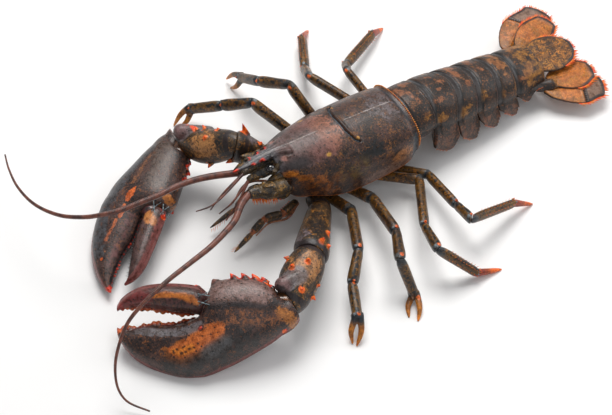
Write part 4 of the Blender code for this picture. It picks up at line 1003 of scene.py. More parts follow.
# Antennules. The two short stems under the beak carry two thin ringed whips each. A stem is a jointed
# tube of hard shell, and each whip is rooted a little inside its end.
ANTENNULES = (
    ("antennule_left", (3.4, -98, 47.6), (3.9, -115, 47),
     (((11, -126.5, 40), (12, -136, 30)), ((10, -130, 41), (9.5, -139, 36)))),
    ("antennule_right", (-3, -98, 47.6), (-1.8, -115, 47.4),
     (((4.5, -132.5, 44), (6, -142.5, 42), (2.5, -151, 39)), ((1.5, -130, 43), (4, -142, 36)))),
)
STEM_STOPS = (
    (0, 4), (0.25, 4.1), (0.48, 3.7), (0.52, 3.1), (0.58, 3.2), (0.76, 2.6), (0.8, 2.1), (0.86, 2.2),
    (1, 1.5))
THIN_RING = 0.7
THIN_THICK = (0.9, 0.36)
THIN_RIDGE = 0.14
for name, root, knee, ends in ANTENNULES:
    root, knee = Vector(root), Vector(knee)
    stem_line = [root.lerp(knee, s) for s in spread(0, 1, 24)]
    stem_rings = tube(stem_line, [through(STEM_STOPS, s) for s in spread(0, 1, 24)])
    stem = cast(name + "_stem", [loft(stem_rings)], 0.3, 2)
    dress(stem, FACE_SHELL, "feeler", [name])
    for k, points in enumerate(ends):
        route = smooth_route((knee + (root - knee).normalized() * 1.5, *points), 40)
        ringed_whip(f"{name}_whip_{k + 1}", route, THIN_RING, *THIN_THICK, THIN_RIDGE)


# Mouth feelers, the third maxillipeds. Four hairy joints folded forward under the head, with
# teeth along the inner edge of the first one and a thin whip on the outer side.
MAXILLIPEDS = (
    ("maxilliped_left", 1, ((9, -83, 11), (15, -97, 14), (12, -109, 14), (14.5, -119, 10), (18, -135, 4.5))),
    ("maxilliped_right", -1,
     ((-8, -84, 12), (-11, -97, 15), (-11.5, -106, 15), (-6.5, -118, 12), (-6, -138, 6))),
)
MAXILLIPED_SIZES = (3.6, 3.4, 2.8, 2.2)
MAXILLIPED_SWELL = ((0.02, 0.6), (0.15, 0.95), (0.5, 1.05), (0.85, 1), (0.98, 0.6))
MAXILLIPED_END = ((0.02, 0.6), (0.15, 0.95), (0.5, 0.8), (0.85, 0.45), (0.98, 0.15))
MAXILLIPED_WHIP = (1.5, 5, 5.5, 4)
MAXILLIPED_TEETH = 6


def frames(joints):
    """For each segment its axis and a sideways direction, carried round the bends without twist."""
    axes = [(b - a).normalized() for a, b in zip(joints, joints[1:])]
    side = axes[0].cross(UP).normalized()
    sides = [side]
    for near, far in zip(axes, axes[1:]):
        sides.append(near.rotation_difference(far) @ sides[-1])
    return axes, sides


for name, sign, joints in MAXILLIPEDS:
    joints = [Vector(p) for p in joints]
    axes, sides = frames(joints)
    solids = []
    hair_roots, hair_ways = [], []
    for k, size in enumerate(MAXILLIPED_SIZES):
        up = sides[k].cross(axes[k])
        swell = MAXILLIPED_END if k == 3 else MAXILLIPED_SWELL
        inward = Vector((-sign, 0, -0.35)).normalized()
        rings = []
        for s in spread(0.02, 0.98, 16):
            wide = size * through(swell, s)
            rings.append(oval(joints[k].lerp(joints[k + 1], s), sides[k], up, wide * 0.75, wide, 20))
        solids.append(loft(rings))
        for s in spread(0.1, 0.95, 14):
            hair_roots.append(joints[k].lerp(joints[k + 1], s) + inward * size * 0.6)
            hair_ways.append((inward + axes[k] * 0.6).normalized())
    for joint, radius in zip(joints[1:-1], (2.3, 2, 1.7)):
        solids.append(horn(joint - axes[0] * radius, joint + axes[0] * radius, radius, 1, 12, 0))
    teeth = []
    inward = Vector((-sign, 0, 0.35)).normalized()
    for share in spread(0.35, 0.95, MAXILLIPED_TEETH):
        edge = joints[0].lerp(joints[1], share) + inward * MAXILLIPED_SIZES[1] * 0.7
        teeth.append((edge, edge + inward * 2, 0.9))
    outward = Vector((sign, 0, 0.2)).normalized()
    whip_line = smooth_route([p + outward * out for p, out in zip(joints, MAXILLIPED_WHIP)], 24)
    solids.append(loft(tube(whip_line, spread(1.1, 0.45, 24), 10)))
    feeler = cast(name + "_shell", solids + [horn(*tooth) for tooth in teeth], 0.35, 2)
    spots = spots_of(feeler)
    marks = [(0.8 * blob(spots, joint, (2.6, 2.6, 2.6)), (0.3, 0.09, 0.03)) for joint in joints[1:-1]]
    marks.append((soft(near_path(spots, whip_line), 1.6, 1.1), (0.25, 0.1, 0.05)))
    marks.append((tips(spots, teeth), TIP_ORANGE))
    dress(feeler, ARM_SHELL, "arm_shell", [name], marks)
    fringe(name + "_hairs", hair_roots, hair_ways, 3.4, 0.22, ORANGE_HAIR, "arm_shell", 0.5, 11)


# Walking legs. Eight jointed tubes of thin hard shell; the first two pairs end in small pincers
# and the last two in a single pointed claw. Olive brown with black spots and orange ends.
LEG_JOINTS = {
    "leg2_left": (
        (12, -63, 9), (36.5, -60, 14.5), (69, -77, 20.5), (84, -91.5, 14), (106, -102.5, 12.5),
        (112.8, -110.3, 0)),
    "leg3_left": (
        (12, -49.5, 9), (35.5, -43.5, 15), (71.5, -51, 23.5), (93.5, -63.5, 28), (105, -60, 3.5),
        (115.3, -71.1, 0)),
    "leg4_left": (
        (12, -32, 9), (37.5, -9, 13.5), (75, -32, 20), (98, -38.5, 25.5), (112.5, -18.5, 4.5),
        (116, -1.5, 0)),
    "leg5_left": (
        (11.5, -19, 9), (36, -1, 12), (70, -4, 17.5), (88, -6, 23), (83, 32, 9), (84.5, 47, 0)),
    "leg2_right": (
        (-12, -62.5, 9), (-35.5, -53.5, 13.5), (-63, -70.5, 31), (-78.5, -84, 22.5),
        (-96, -98, 12), (-99, -110, 0)),
    "leg3_right": (
        (-12, -49, 9), (-33, -36, 12), (-56, -46.5, 40), (-78, -55.5, 29.5), (-100.5, -56.5, 14.5),
        (-108.4, -60.4, 0)),
    "leg4_right": (
        (-12, -33, 9), (-30, -4, 14.5), (-69, -22.5, 23.5), (-87.5, -14, 10), (-115.5, 2, 8),
        (-126.5, 14, 0)),
    "leg5_right": (
        (-11.5, -21, 9), (-26.5, 4.5, 13), (-59.5, 1, 24), (-73, 9.5, 13.5), (-92.5, 45, 8), (-100, 59, 0)),
}
PINCER_TIPS = {
    "leg2_left": (115.6, -109.4, 0),
    "leg3_left": (120.4, -68.1, 0),
    "leg2_right": (-95.6, -107.6, 0),
    "leg3_right": (-115, -59.5, 2.5),
}
PINCER_RADII = ((0, 2.3), (0.15, 2.2), (0.55, 1.8), (0.85, 1.1), (1, 0.5))
PINCER_APART = 1.7
PINCER_BOW = 1.6
LEG_SIZE = {"leg2": 1.0, "leg3": 1.0, "leg4": 0.9, "leg5": 0.82}
HAIRY_LEGS = ("leg4", "leg5")
TUFT_TURNS = (35, 90, 145, 250, 300)
KNOB_TURNS = (60, 120, 250)
SEGMENT_TOPS = ((1, 4.6), (2, 4.2), (3, 4))
# For each segment from the hip, stops of (share of its length, half width, half height).
LEG_PROFILES = (
    ((0, 3.2, 3.2), (0.3, 3.6, 3.4), (0.65, 3.6, 3.8), (0.9, 3.5, 4.3), (1, 3.1, 3.9)),
    ((0, 3.0, 3.9), (0.12, 3.5, 4.8), (0.25, 3.5, 5.0), (0.7, 3.5, 5.2), (0.9, 3.5, 4.9), (1, 2.8, 3.9)),
    ((0, 2.8, 3.7), (0.15, 3.2, 4.3), (0.35, 3.3, 4.3), (0.75, 3.7, 4.7), (0.92, 3.5, 4.4), (1, 2.8, 3.5)),
    ((0, 2.6, 3.4), (0.1, 3.2, 4.2), (0.3, 3.4, 4.4), (0.8, 3.2, 4.2), (0.93, 3.1, 4.0), (1, 2.6, 3.2)),
    ((0, 2.6, 3.3), (0.15, 2.5, 3.1), (0.4, 2.1, 2.5), (0.7, 1.6, 1.8), (0.9, 1.0, 1.1), (1, 0.5, 0.5)),
)
JOINT_GAP = 0.3
LEG_AMBER = (0.42, 0.15, 0.015)
LEG_TIP = (0.7, 0.22, 0.02)
KNOB_ORANGE = (0.7, 0.13, 0.02)
CONDYLE_GREY = (0.14, 0.17, 0.19)
JOINT_GREY = (0.08, 0.08, 0.08)


def tilt(ring, axis, normal, share):
    """Leans a ring towards the plane with this normal through its middle, in part or whole."""
    middle = sum(ring, Vector()) / len(ring)
    return [p + axis * ((middle - p).dot(normal) / axis.dot(normal) * share) for p in ring]


def segment_rings(joints, axes, sides, k, profile, count, stops):
    """Rings of segment k, leaning more and more towards the planes that halve the joints' bends."""
    a, b = joints[k], joints[k + 1]
    up = sides[k].cross(axes[k])
    rings = []
    for s in spread(0, 1, stops):
        half_side, half_up = section_at(profile, s)
        ring = oval(a.lerp(b, s), sides[k], up, half_side, half_up, count, 0.94)
        if k and s < 0.5:
            ring = tilt(ring, axes[k], (axes[k - 1] + axes[k]).normalized(), 1 - 2 * s)
        if k < len(axes) - 1 and s > 0.5:
            ring = tilt(ring, axes[k], (axes[k] + axes[k + 1]).normalized(), 2 * s - 1)
        rings.append(ring)
    if k:
        normal = (axes[k - 1] + axes[k]).normalized()
        rings[0] = slide_to_plane(rings[0], axes[k], a + normal * JOINT_GAP / 2, normal)
    if k < len(axes) - 1:
        normal = (axes[k] + axes[k + 1]).normalized()
        rings[-1] = slide_to_plane(rings[-1], axes[k], b - normal * JOINT_GAP / 2, normal)
    return rings


def lift(rings):
    """Keeps every point on or above the floor."""
    return [[Vector((p.x, p.y, max(p.z, 0))) for p in ring] for ring in rings]


def keep_above_floor(piece):
    """Flattens what the smoothing or a bump pushed under the floor."""
    for vert in piece.data.vertices:
        vert.co.z = max(vert.co.z, 0)


def knobs_round(joint, axis, side, up, size):
    """Small blunt bumps round the end of a leg's segment."""
    bumps = []
    for turn in map(radians, KNOB_TURNS):
        across = side * cos(turn) * (2.9 * size) + up * sin(turn) * (3.9 * size)
        root = joint + across - axis * 1.2
        bumps.append((root, root + (across.normalized() + axis * 0.9).normalized() * 1.7, 0.9))
    return bumps


def away_from(spots, point):
    """Distance of each spot from the point."""
    return np.linalg.norm(spots - np.array(point), axis=1)


LEG_SHELL = shell_finish(
    "leg_shell", (0.045, 0.02, 0.006), (0.125, 0.058, 0.009), (0.28, 0.105, 0.013), 1.1, 0.28, 0.00014, 0.6)
for leg, places in LEG_JOINTS.items():
    joints = [Vector(p) for p in places]
    size = LEG_SIZE[leg[:4]]
    axes, sides = frames(joints)
    hip = Vector((copysign(1, joints[0].x), 0, 0))
    lengths = []
    for k, profile in enumerate(LEG_PROFILES):
        sized = [(s, w * size, h * size) for s, w, h in profile]
        lengths.append(segment_rings(joints, axes, sides, k, sized, 32, 36))
    body_side = Vector((hip.x * (SIDE_X + JOINT_GAP), 0, 0))
    lengths[0][0] = slide_to_plane(lengths[0][0], axes[0], body_side, hip)
    lengths[1][0] = [p - axes[1] * 1.5 for p in lengths[1][0]]
    ups = [side.cross(axis) for side, axis in zip(sides, axes)]
    bumps = {k: knobs_round(joints[k + 1], axes[k], sides[k], ups[k], size) for k in (1, 2, 3)}
    solids = {
        "thigh": [loft(lengths[0]), loft(lengths[1])] + [horn(*bump) for bump in bumps[1]],
        "knee": [loft(lengths[2])] + [horn(*bump) for bump in bumps[2]],
    }
    knuckle = joints[4]
    if leg in PINCER_TIPS:
        moving_tip = Vector(PINCER_TIPS[leg])
        across = moving_tip - joints[5]
        across = (across - axes[3] * across.dot(axes[3])).normalized()
        foot = [loft(lift(lengths[3]))]
        for tip, side in ((joints[5], -across), (moving_tip, across)):
            root = knuckle - axes[3] * 2.5 + side * PINCER_APART
            start = knuckle + side * PINCER_APART
            middle = start.lerp(tip, 0.5) + side * PINCER_BOW
            finger_line = smooth_route((root, start, middle, tip), 26)
            radii = [through(PINCER_RADII, s) for s in spread(0, 1, 26)]
            foot.append(loft(lift(tube(finger_line, radii, 16))))
        claw_tips = (joints[5], moving_tip)
    else:
        foot = [loft(lift(lengths[3])), loft(lift(lengths[4]))]
        foot.append(horn(knuckle - axes[3] * 3, knuckle + axes[4] * 3, 2.5 * size, 1, 16, 0))
        claw_tips = (joints[5],)
    solids["foot"] = foot + [horn(*bump) for bump in bumps[3][:2]]
    ends = {"thigh": (0, 1, 2), "knee": (2, 3), "foot": (3, 4)}
    for part, forms in solids.items():
        piece = cast(f"{leg}_{part}_shell", forms, 0.4, 2)
        keep_above_floor(piece)
        spots = spots_of(piece)
        marks = []
        for k in ends[part]:
            away = away_from(spots, joints[k])
            marks += [
                (0.35 * soft(away, 7.5 * size, 5 * size), JOINT_GREY),
                (0.85 * soft(away, 5 * size, 3.4 * size), BLUE_BLACK)]
        draw = random.Random(len(leg) + ends[part][-1])
        for s in spread(0.16, 0.9, 13):
            for k, height in SEGMENT_TOPS:
                aside, wide = draw.uniform(-2.6, 2.6), draw.uniform(0.7, 1.9)
                place = joints[k].lerp(joints[k + 1], s) + ups[k] * height * size + sides[k] * aside
                marks.append((0.75 * soft(away_from(spots, place), wide, wide * 0.5), FLECK_BLACK))
        for row in bumps.values():
            marks += [
                (0.9 * tips(spots, row[:1], 0.3), CONDYLE_GREY), (tips(spots, row[1:], 0.2), KNOB_ORANGE)]
        for tip in claw_tips:
            away = away_from(spots, tip)
            marks += [(0.75 * soft(away, 16, 8), LEG_AMBER), (0.95 * soft(away, 5, 2.5), LEG_TIP)]
        if leg[:4] in HAIRY_LEGS and part == "foot":
            away = near_path(spots, [knuckle, joints[5]])
            marks.append((0.7 * soft(away, 4.2 * size, 3.4 * size), (0.34, 0.04, 0.012)))
            away = near_path(spots, [knuckle.lerp(joints[5], 0.55), joints[5]])
            marks.append((0.8 * soft(away, 3, 1.6), TIP_ORANGE))
        dress(piece, LEG_SHELL, "leg_shell", [f"{leg}_{part}"], marks)
    if leg[:4] in HAIRY_LEGS:
        roots, ways = [], []
        for swing in map(radians, TUFT_TURNS):
            for s in spread(0.25, 0.97, 11):
                out = sides[3] * cos(swing) + ups[3] * sin(swing)
                place = joints[3].lerp(joints[4], s)
                at = place + sides[3] * cos(swing) * 3.1 * size + ups[3] * sin(swing) * 4.1 * size
                for lean in (0.5, 1.1):
                    roots.append(at)
                    ways.append((out + axes[3] * lean).normalized())
        fringe(leg + "_tufts", roots, ways, 1.7, 0.17, ORANGE_HAIR, "leg_shell", 0.4, 3)


# Arms. Three thick joints carry each great claw; the last one has a smooth round knuckle on its
# inner corner and orange spines round it. They are mottled shell with a dark band at every joint, and
# a plug of soft skin closes each wrist.
# Each claw: its wrist, its tip and the direction across it towards the movable finger.
CRUSHER = (Vector((88.2, -132.4, 29.2)), Vector((34.2, -225.4, 15.2)), Vector((-31, 27, 32)))
CUTTER = (Vector((-62, -123, 25)), Vector((4, -214.5, 6)), Vector((32.7, 27.1, 10)))
ARM_LEFT = ((12, -73, 12), (23, -74.5, 14), (64, -108.5, 31), (84.1, -137.3, 28.4))
ARM_RIGHT = ((-12, -73, 12), (-24.5, -80, 15.5), (-28.5, -104.5, 42.5), (-58, -126, 25.3))
# Each segment's stops: share of its length, half width and half height.
ARM_LEFT_SIZES = {
    "ischium": ((0, 5.0, 5.2), (0.5, 5.8, 5.8), (1, 6.2, 5.6)),
    "merus": (
        (0, 6.4, 6), (0.15, 7.8, 8.2), (0.45, 9, 9.8), (0.75, 10.4, 11.2), (0.92, 10.8, 11.6),
        (1, 9.4, 9.8)),
    "carpus": (
        (0, 9, 9.4), (0.15, 10.8, 11.6), (0.45, 12, 12.4), (0.75, 11.2, 11.4), (0.9, 9.4, 9.6),
        (1, 7.4, 7.6)),
}
ARM_RIGHT_SIZES = {
    "ischium": ((0, 5.0, 5.2), (0.5, 5.6, 5.6), (1, 6.0, 5.4)),
    "merus": ((0, 6, 5.8), (0.2, 7, 7.6), (0.5, 8, 9), (0.78, 9, 10), (0.93, 9.2, 10.2), (1, 7.8, 8.6)),
    "carpus": (
        (0, 7.6, 8.2), (0.15, 9.4, 10.4), (0.45, 10.6, 11.6), (0.75, 9.8, 10.4), (0.9, 8.4, 8.8),
        (1, 6.8, 7.2)),
}
# Each spine: its share of the segment's length, turn round it, height, radius and lean forwards.
ARM_LEFT_SPINES = {
    "merus": ((0.94, 131, 4.2, 2.1, 0.2), (0.9, 163, 2.6, 1.6, 0.5), (0.66, 156, 2, 1.7, 0.5)),
    "carpus": (
        (0.3, 116, 2.8, 1.7, 0.5), (0.5, 82, 3.2, 1.8, 0.5), (0.82, 136, 2.6, 1.6, 0.5),
        (0.72, 196, 3.6, 1.8, 0.6), (0.5, 187, 2, 1.4, 0.5), (0.3, 46, 4, 1.8, 0.5),
    ),
}
ARM_RIGHT_SPINES = {
    "merus": ((0.94, 48, 9.5, 2.3, 1.5), (0.84, 228, 5, 1.9, 0.9), (0.6, 70, 2.4, 1.6, 0.5)),
    "carpus": (
        (0.34, 92, 2.8, 1.7, 0.5), (0.2, 52, 2.8, 1.6, 0.5), (0.46, 47, 4.4, 1.8, 0.6),
        (0.62, 47, 3.6, 1.7, 0.6), (0.78, 47, 2.8, 1.6, 0.6), (0.42, 196, 4.2, 2, 0.6),
    ),
}
# Each knuckle: its root and its round end in the claw's own directions, and its radius.
KNUCKLE_LEFT = ((-1, 15.5, 0), (8, 11.4, -3.5), 4.8)
KNUCKLE_RIGHT = ((-8, 17, 4.5), (0, 3, 12.5), 5)
KNUCKLE_PINK = (0.2, 0.075, 0.07)
KNUCKLE_GREY = (0.13, 0.115, 0.12)
CARPUS_TAN = (0.34, 0.16, 0.055)
MERUS_GREY = (0.14, 0.115, 0.13)
MERUS_AMBER = (0.65, 0.19, 0.03)
JOINT_BROWN = (0.02, 0.013, 0.014)


def spot_on(centre, side, up, half_side, half_up, turn):
    """A point at this turn round an oval section, and the way out of the shell there."""
    turn = radians(turn)
    place = centre + side * half_side * cos(turn) + up * half_up * sin(turn)
    outward = side * cos(turn) / half_side + up * sin(turn) / half_up
    return place, outward.normalized()


def arm_spot(points, axes, sides, k, profile, share, turn):
    """A point of an arm's surface at this share of segment k, and the way out there."""
    centre = points[k].lerp(points[k + 1], share)
    half_side, half_up = section_at(profile, share)
    return spot_on(centre, sides[k], sides[k].cross(axes[k]), half_side, half_up, turn)


def claw_axes(wrist, tip, across):
    """Directions along the claw, across it towards the movable finger, and out of its face."""
    along = (tip - wrist).normalized()
    across = (across - along * across.dot(along)).normalized()
    return along, across, along.cross(across)


def claw_place(claw, reach, aside, lift_off):
    """A place given in the claw's own directions from its wrist."""
    along, across, face = claw_axes(*claw)
    return claw[0] + along * reach + across * aside + face * lift_off


def lobe(root, end, radius, round_root=False, sides=32):
    """A thick finger with a round end, and a root that is cut flat or rounded too."""
    axis = (end - root).normalized()
    side = axis.orthogonal().normalized()
    up = axis.cross(side)
    rings = []
    for lean in (-1.4, -1.05, -0.7, -0.35, 0) if round_root else (0,):
        size = radius * 0.8 * cos(lean)
        rings.append(oval(root + axis * radius * 0.8 * sin(lean), side, up, size, size, sides))
    for lean in spread(0, 1.5, 9):
        size = radius * cos(lean)
        rings.append(oval(end + axis * radius * sin(lean), side, up, size, size, sides))
    return loft(rings)


def make_arm(name, joints, claw, sizes, spines, knuckle):
    """Makes and dresses the three segments, and gives the direction square to the wrist's joint."""
    points = [Vector(p) for p in joints]
    points.append(points[-1] + claw[1] - claw[0])
    axes, sides = frames(points)
    root = Vector((copysign(SIDE_X + JOINT_GAP, points[0].x), 0, 0))
    for k, part in enumerate(("ischium", "merus", "carpus")):
        rings = segment_rings(points, axes, sides, k, sizes[part], 64, 60)
        if k == 0:
            rings[0] = slide_to_plane(rings[0], axes[0], root, Vector((1, 0, 0)))
        solids = [loft(rings)]
        thorns = []
        for share, turn, height, radius, lean in spines.get(part, ()):
            place, outward = arm_spot(points, axes, sides, k, sizes[part], share, turn)
            thorns.append((place, place + (outward + axes[k] * lean).normalized() * height, radius))
        marks = []
        if part == "carpus":
            root, end, radius = knuckle
            ball = claw_place(claw, *end)
            solids.append(lobe(claw_place(claw, *root), ball, radius, True))
        piece = cast(f"{name}_{part}_shell", solids + [horn(*thorn) for thorn in thorns], 0.45, 3)
        spots = spots_of(piece)
        if part == "carpus":
            tan_place, _ = arm_spot(points, axes, sides, k, sizes[part], 0.4, 120)
            away = near_path(spots, [claw_place(claw, *root), ball])
            marks += [
                (0.68 * blob(spots, tan_place, (11, 12, 10)), CARPUS_TAN),
                (0.85 * soft(away, radius * 1.6, radius * 1.1), KNUCKLE_GREY),
                (0.85 * blob(spots, ball, (radius, radius, radius)), KNUCKLE_PINK)]
        if part == "merus":
            flange, _ = arm_spot(points, axes, sides, k, sizes[part], 0.84, 60)
            marks.append((0.5 * blob(spots, flange, (7, 7, 6)), MERUS_GREY))
            amber, _ = arm_spot(points, axes, sides, k, sizes[part], 0.69, 156)
            marks.append((0.9 * blob(spots, amber, (2.8, 2.8, 2.8)), MERUS_AMBER))
        for joint in (points[k], points[k + 1]):
            away = np.abs((spots - np.array(joint)) @ np.array(axes[k]))
            marks.append((0.85 * soft(away, 2.6, 1.2), JOINT_BROWN))
        marks += [(tips(spots, thorns, 0.25), TIP_ORANGE), (0.8 * tips(spots, thorns, 0.7), SCARLET)]
        dress(piece, ARM_SHELL, "arm_shell", [f"{name}_{part}"], marks)
    return (axes[2] + axes[3]).normalized()


LEFT_WRIST = make_arm("arm_left", ARM_LEFT, CRUSHER, ARM_LEFT_SIZES, ARM_LEFT_SPINES, KNUCKLE_LEFT)
RIGHT_WRIST = make_arm("arm_right", ARM_RIGHT, CUTTER, ARM_RIGHT_SIZES, ARM_RIGHT_SPINES, KNUCKLE_RIGHT)
MEMBRANE = plain_finish("joint_membrane", (0.23, 0.085, 0.03), 0.22, 0.6, (0.07, 0.03, 0.014), 220.0)
for name, claw, joint, radius in (
    ("arm_left", CRUSHER, Vector(ARM_LEFT[3]), 7.2), ("arm_right", CUTTER, Vector(ARM_RIGHT[3]), 6.6),
):
    along = claw_axes(*claw)[0]
    pocket = cast(name + "_wrist_membrane", [lobe(joint - along * 6, joint + along * 5, radius)], 0.7)
    pocket.data.materials.append(MEMBRANE)
    mount(pocket, "arm_shell")


# Great claws. The crusher on the left has blunt molars, the cutter on the right fine sharp teeth;
# each is a palm with its fixed finger and a movable finger on a hinge. Thick, glossy shell with a
# maroon keel along its outer edge, grey, black and orange areas, and red teeth and spines; some of
# the grey and pinkish grey is painted sheen on the palms and the crusher's fixed finger.
# Each stop of a claw piece: its reach from the wrist, its outer and inner edges across the claw and
# its half thickness.
CRUSHER_PALM = (
    (4, -9, 4, 7), (8, -14, 5, 9.2), (13.5, -17.8, 9.5, 11.5), (18, -20.5, 14.5, 13.3),
    (29, -25.5, 18, 15.5), (40, -30, 18.8, 16.5), (47, -32.3, 18, 16.5), (50, -33.2, 16, 16),
    (52.6, -34, 11.5, 15.8), (55, -34.7, 5.5, 15.8), (58, -35.4, 0.6, 15.7), (61, -36, -1.6, 15.5),
    (74, -35.2, -4.2, 12.5),
    (88, -29, -3, 9.5), (99, -21.5, -4, 7), (105.5, -13.5, -3.5, 4.5), (108.5, -7, -1.5, 2),
)
CRUSHER_THUMB = (
    (53.2, 4.5, 11.5, 5), (55.5, 1, 14.2, 7.6), (58.5, -0.2, 16, 9), (64, 1.2, 17.6, 9.2),
    (73, 3, 19.2, 8.5), (82, 6, 20, 7.6), (91, 8.2, 19.6, 6.5), (99, 9.4, 17, 5),
    (104.5, 8.8, 13.5, 3.2), (107.3, 7.4, 9.8, 1.4),
)
CUTTER_PALM = (
    (2, -12.5, 1.5, 7), (7, -16.8, 6, 9.4), (15, -20.8, 10.6, 11.2), (28, -25.5, 12.6, 12),
    (39, -29.5, 14, 12.5), (45.5, -31, 14.6, 12.5), (49, -31.3, 12.4, 12.2), (51.6, -31.4, 8, 12),
    (54, -31.5, 3, 11.9), (57, -31.6, -1, 11.7), (60, -31.6, -2.6, 11.5), (74, -29.8, -1.5, 9.5),
    (88, -25, -3.2, 7.5),
    (100, -17.5, -2.8, 5.5), (110, -8, -1, 3), (114.5, -1.5, 1.5, 1.2),
)
CUTTER_THUMB = (
    (52.2, 2.4, 10, 4.5), (55, -0.4, 11.8, 6), (62, -0.6, 12.8, 6.6), (72, 0.6, 13.6, 6.4),
    (82, 2.2, 14.3, 6), (92, 4.8, 14.6, 5), (99, 6.8, 13.4, 3.8), (104, 8, 11, 2.4), (107.8, 7, 8, 1),
)
WRIST_BLEND = 8
# Points in a ring, how many rings, and the keel's turn round them.
PALM_RINGS = (96, 130, 180)
THUMB_RINGS = (72, 80, 0)
# Each spine: its reach, its turn round the piece, its height and its radius.
CRUSHER_PALM_SPINES = (
    (36, -8, 4.4, 2.3), (29.5, -8, 4.6, 2.3), (23.5, -4, 4.6, 2.2), (18, -8, 4.4, 2.1), (14.5, -8, 3, 1.8),
    (47.5, -8, 2.6, 3.2), (57, -62, 1.6, 1.3), (9, 200, 1.5, 1.6),
)
CRUSHER_THUMB_SPINES = ((58.5, 10, 2.4, 1.8),)
CUTTER_PALM_SPINES = (
    (9.5, -20, 2, 1.5), (12.5, -15, 2.2, 1.5), (16.5, 5, 2.4, 1.5), (20.5, -8, 3.6, 1.9), (25.5, 0, 3, 1.8),
    (46, -40, 3, 2.2), (6, 170, 1.8, 1.6),
)
CUTTER_THUMB_SPINES = ((56, 18, 2, 1.6),)
SPINE_LEAN = 0.55
# Each row of teeth: its first and last reach, how many, their height, radius and bluntness.
CRUSHER_TEETH = (60, 104, 16, 2.7, 2.4, 0.7)
CUTTER_TEETH = (58, 111, 21, 1.9, 1.0, 0.2)
CUTTER_THUMB_TEETH = (59, 103, 17, 1.4, 0.85, 0.2)
BITE_CLEARANCE = 0.5
KEEL_HEIGHT = 1.1
KEEL_TURN = 7
EDGE_STOPS = spread(-1, 115, 117)
MAROON = (0.18, 0.055, 0.05)
CLAW_ORANGE = (0.62, 0.125, 0.022)
CLAW_GREY = (0.085, 0.085, 0.09)
TOOTH_TIP = (0.72, 0.3, 0.08)
BROAD_SPINE = (0.24, 0.1, 0.08)
BROAD_FROM = 2.5
DOT_RUN = 0.4
CRUSHER_DOTS = (
    (70, -21, 0.9), (67.5, -20.5, 0.7), (65, -19, 0.8), (72.5, -18.5, 0.6), (62, -18.5, 0.6),
    (68.5, -17.6, 0.5), (59.5, -16.5, 0.7), (74.5, -20.2, 0.6), (56.5, -12.5, 0.5), (51.5, -12, 0.5),
)
# Each mark: its stops as (along, across) with a half width of their own or none, the half width of
# the stops that have none, its strength and its colour.
CRUSHER_PALM_MARKS = (
    # Painted sheen: a pinkish-grey strip along the upper part of the palm.
    (((20, 8), (30, 12), (40, 13), (47, 12)), 7, 0.75, (0.19, 0.12, 0.11)),
    (((19, -1), (28, 2), (39, 3), (50, 4)), 2.4, 0.6, (0.014, 0.012, 0.014)),
    (((4, -12), (6, -8), (9, -4)), 4, 0.7, (0.34, 0.13, 0.03)),
    (((15, -8), (26, -6), (38, -4)), 5, 0.45, (0.2, 0.075, 0.03)),
    (((30, -16), (45, -22), (60, -27), (76, -27)), 7, 0.6, (0.03, 0.026, 0.026)),
    (((45, -9.8, 5), (57, -13.6, 7.5), (70, -20, 7), (80, -19, 4)), 6, 0.42, (0.26, 0.085, 0.02)),
    (((46, -9.8, 3.2), (50, -10.8, 5), (57, -13.8, 5), (64, -17.2, 4.6), (71, -19.6, 4), (76, -18.6, 2)),
     4.3, 0.74, (0.52, 0.135, 0.03)),
    (((64, -18.6, 2.2), (71, -20.4, 2.6), (75, -19.4, 1.5)), 3, 0.7, (0.6, 0.19, 0.02)),
    *((((reach, aside), (reach + DOT_RUN, aside)), size, 0.85, FLECK_BLACK)
      for reach, aside, size in CRUSHER_DOTS),
    (((44, -17), (54, -22)), 4, 0.6, CLAW_GREY),
    # Painted sheen: a grey strip along the top of the fixed finger.
    (((58, -6), (67, -8.5), (76, -8.6), (85, -7.6), (96, -5)), 2.6, 0.7, (0.12, 0.11, 0.12)),
)
CRUSHER_THUMB_MARKS = (
    (((58.5, 6.6, 1.4), (62, 9.8, 2.4), (66, 11.8, 2.2), (71, 13, 1.5), (76, 14, 1.9), (85, 13.6, 0.8)),
     3, 0.75, (0.46, 0.14, 0.018)),
    (((90, 13), (100, 13.5)), 5, 0.5, (0.2, 0.03, 0.03)),
)
CUTTER_PALM_MARKS = (
    (((10, -4), (24, -2), (38, 2)), 8, 0.55, (0.1, 0.072, 0.06)),
    # Painted sheen: a grey strip over the outer part of the palm.
    (((14, -17), (30, -21), (50, -24), (72, -24), (92, -17)), 6, 0.7, (0.06, 0.06, 0.068)),
    (((20, -10.5, 1.2), (33, -12, 1.8), (43, -12.5, 1.4)), 2, 0.55, (0.2, 0.085, 0.04)),
    (((46, -9.3, 1), (51, -10.6, 2.4), (55, -10.8, 1.6)), 1.7, 0.95, (0.6, 0.13, 0.025)),
    (((59, -11.4, 1.1), (63, -11.6, 1.8), (67, -11.3, 1.2)), 1.7, 0.8, (0.5, 0.12, 0.03)),
    (((70, -12.7, 1.2), (75, -13.1, 1), (84, -14, 1.2)), 1.7, 0.66, (0.42, 0.12, 0.045)),
    (((62, -6), (80, -6), (98, -6)), 2.6, 0.5, (0.12, 0.05, 0.05)),
    (((46, 12), (48.5, 16)), 3, 0.8, (0.36, 0.13, 0.03)),
    (((96.6, -11.8), (97, -11.8)), 0.9, 0.9, CLAW_ORANGE),
)
CUTTER_THUMB_MARKS = (
    (((60, 4), (64, 8)), 3.2, 0.9, (0.5, 0.2, 0.06)),
    (((66, 12.4), (75, 13.3), (85, 14.2), (98, 13.2)), 1.2, 0.7, (0.26, 0.06, 0.045)),
)


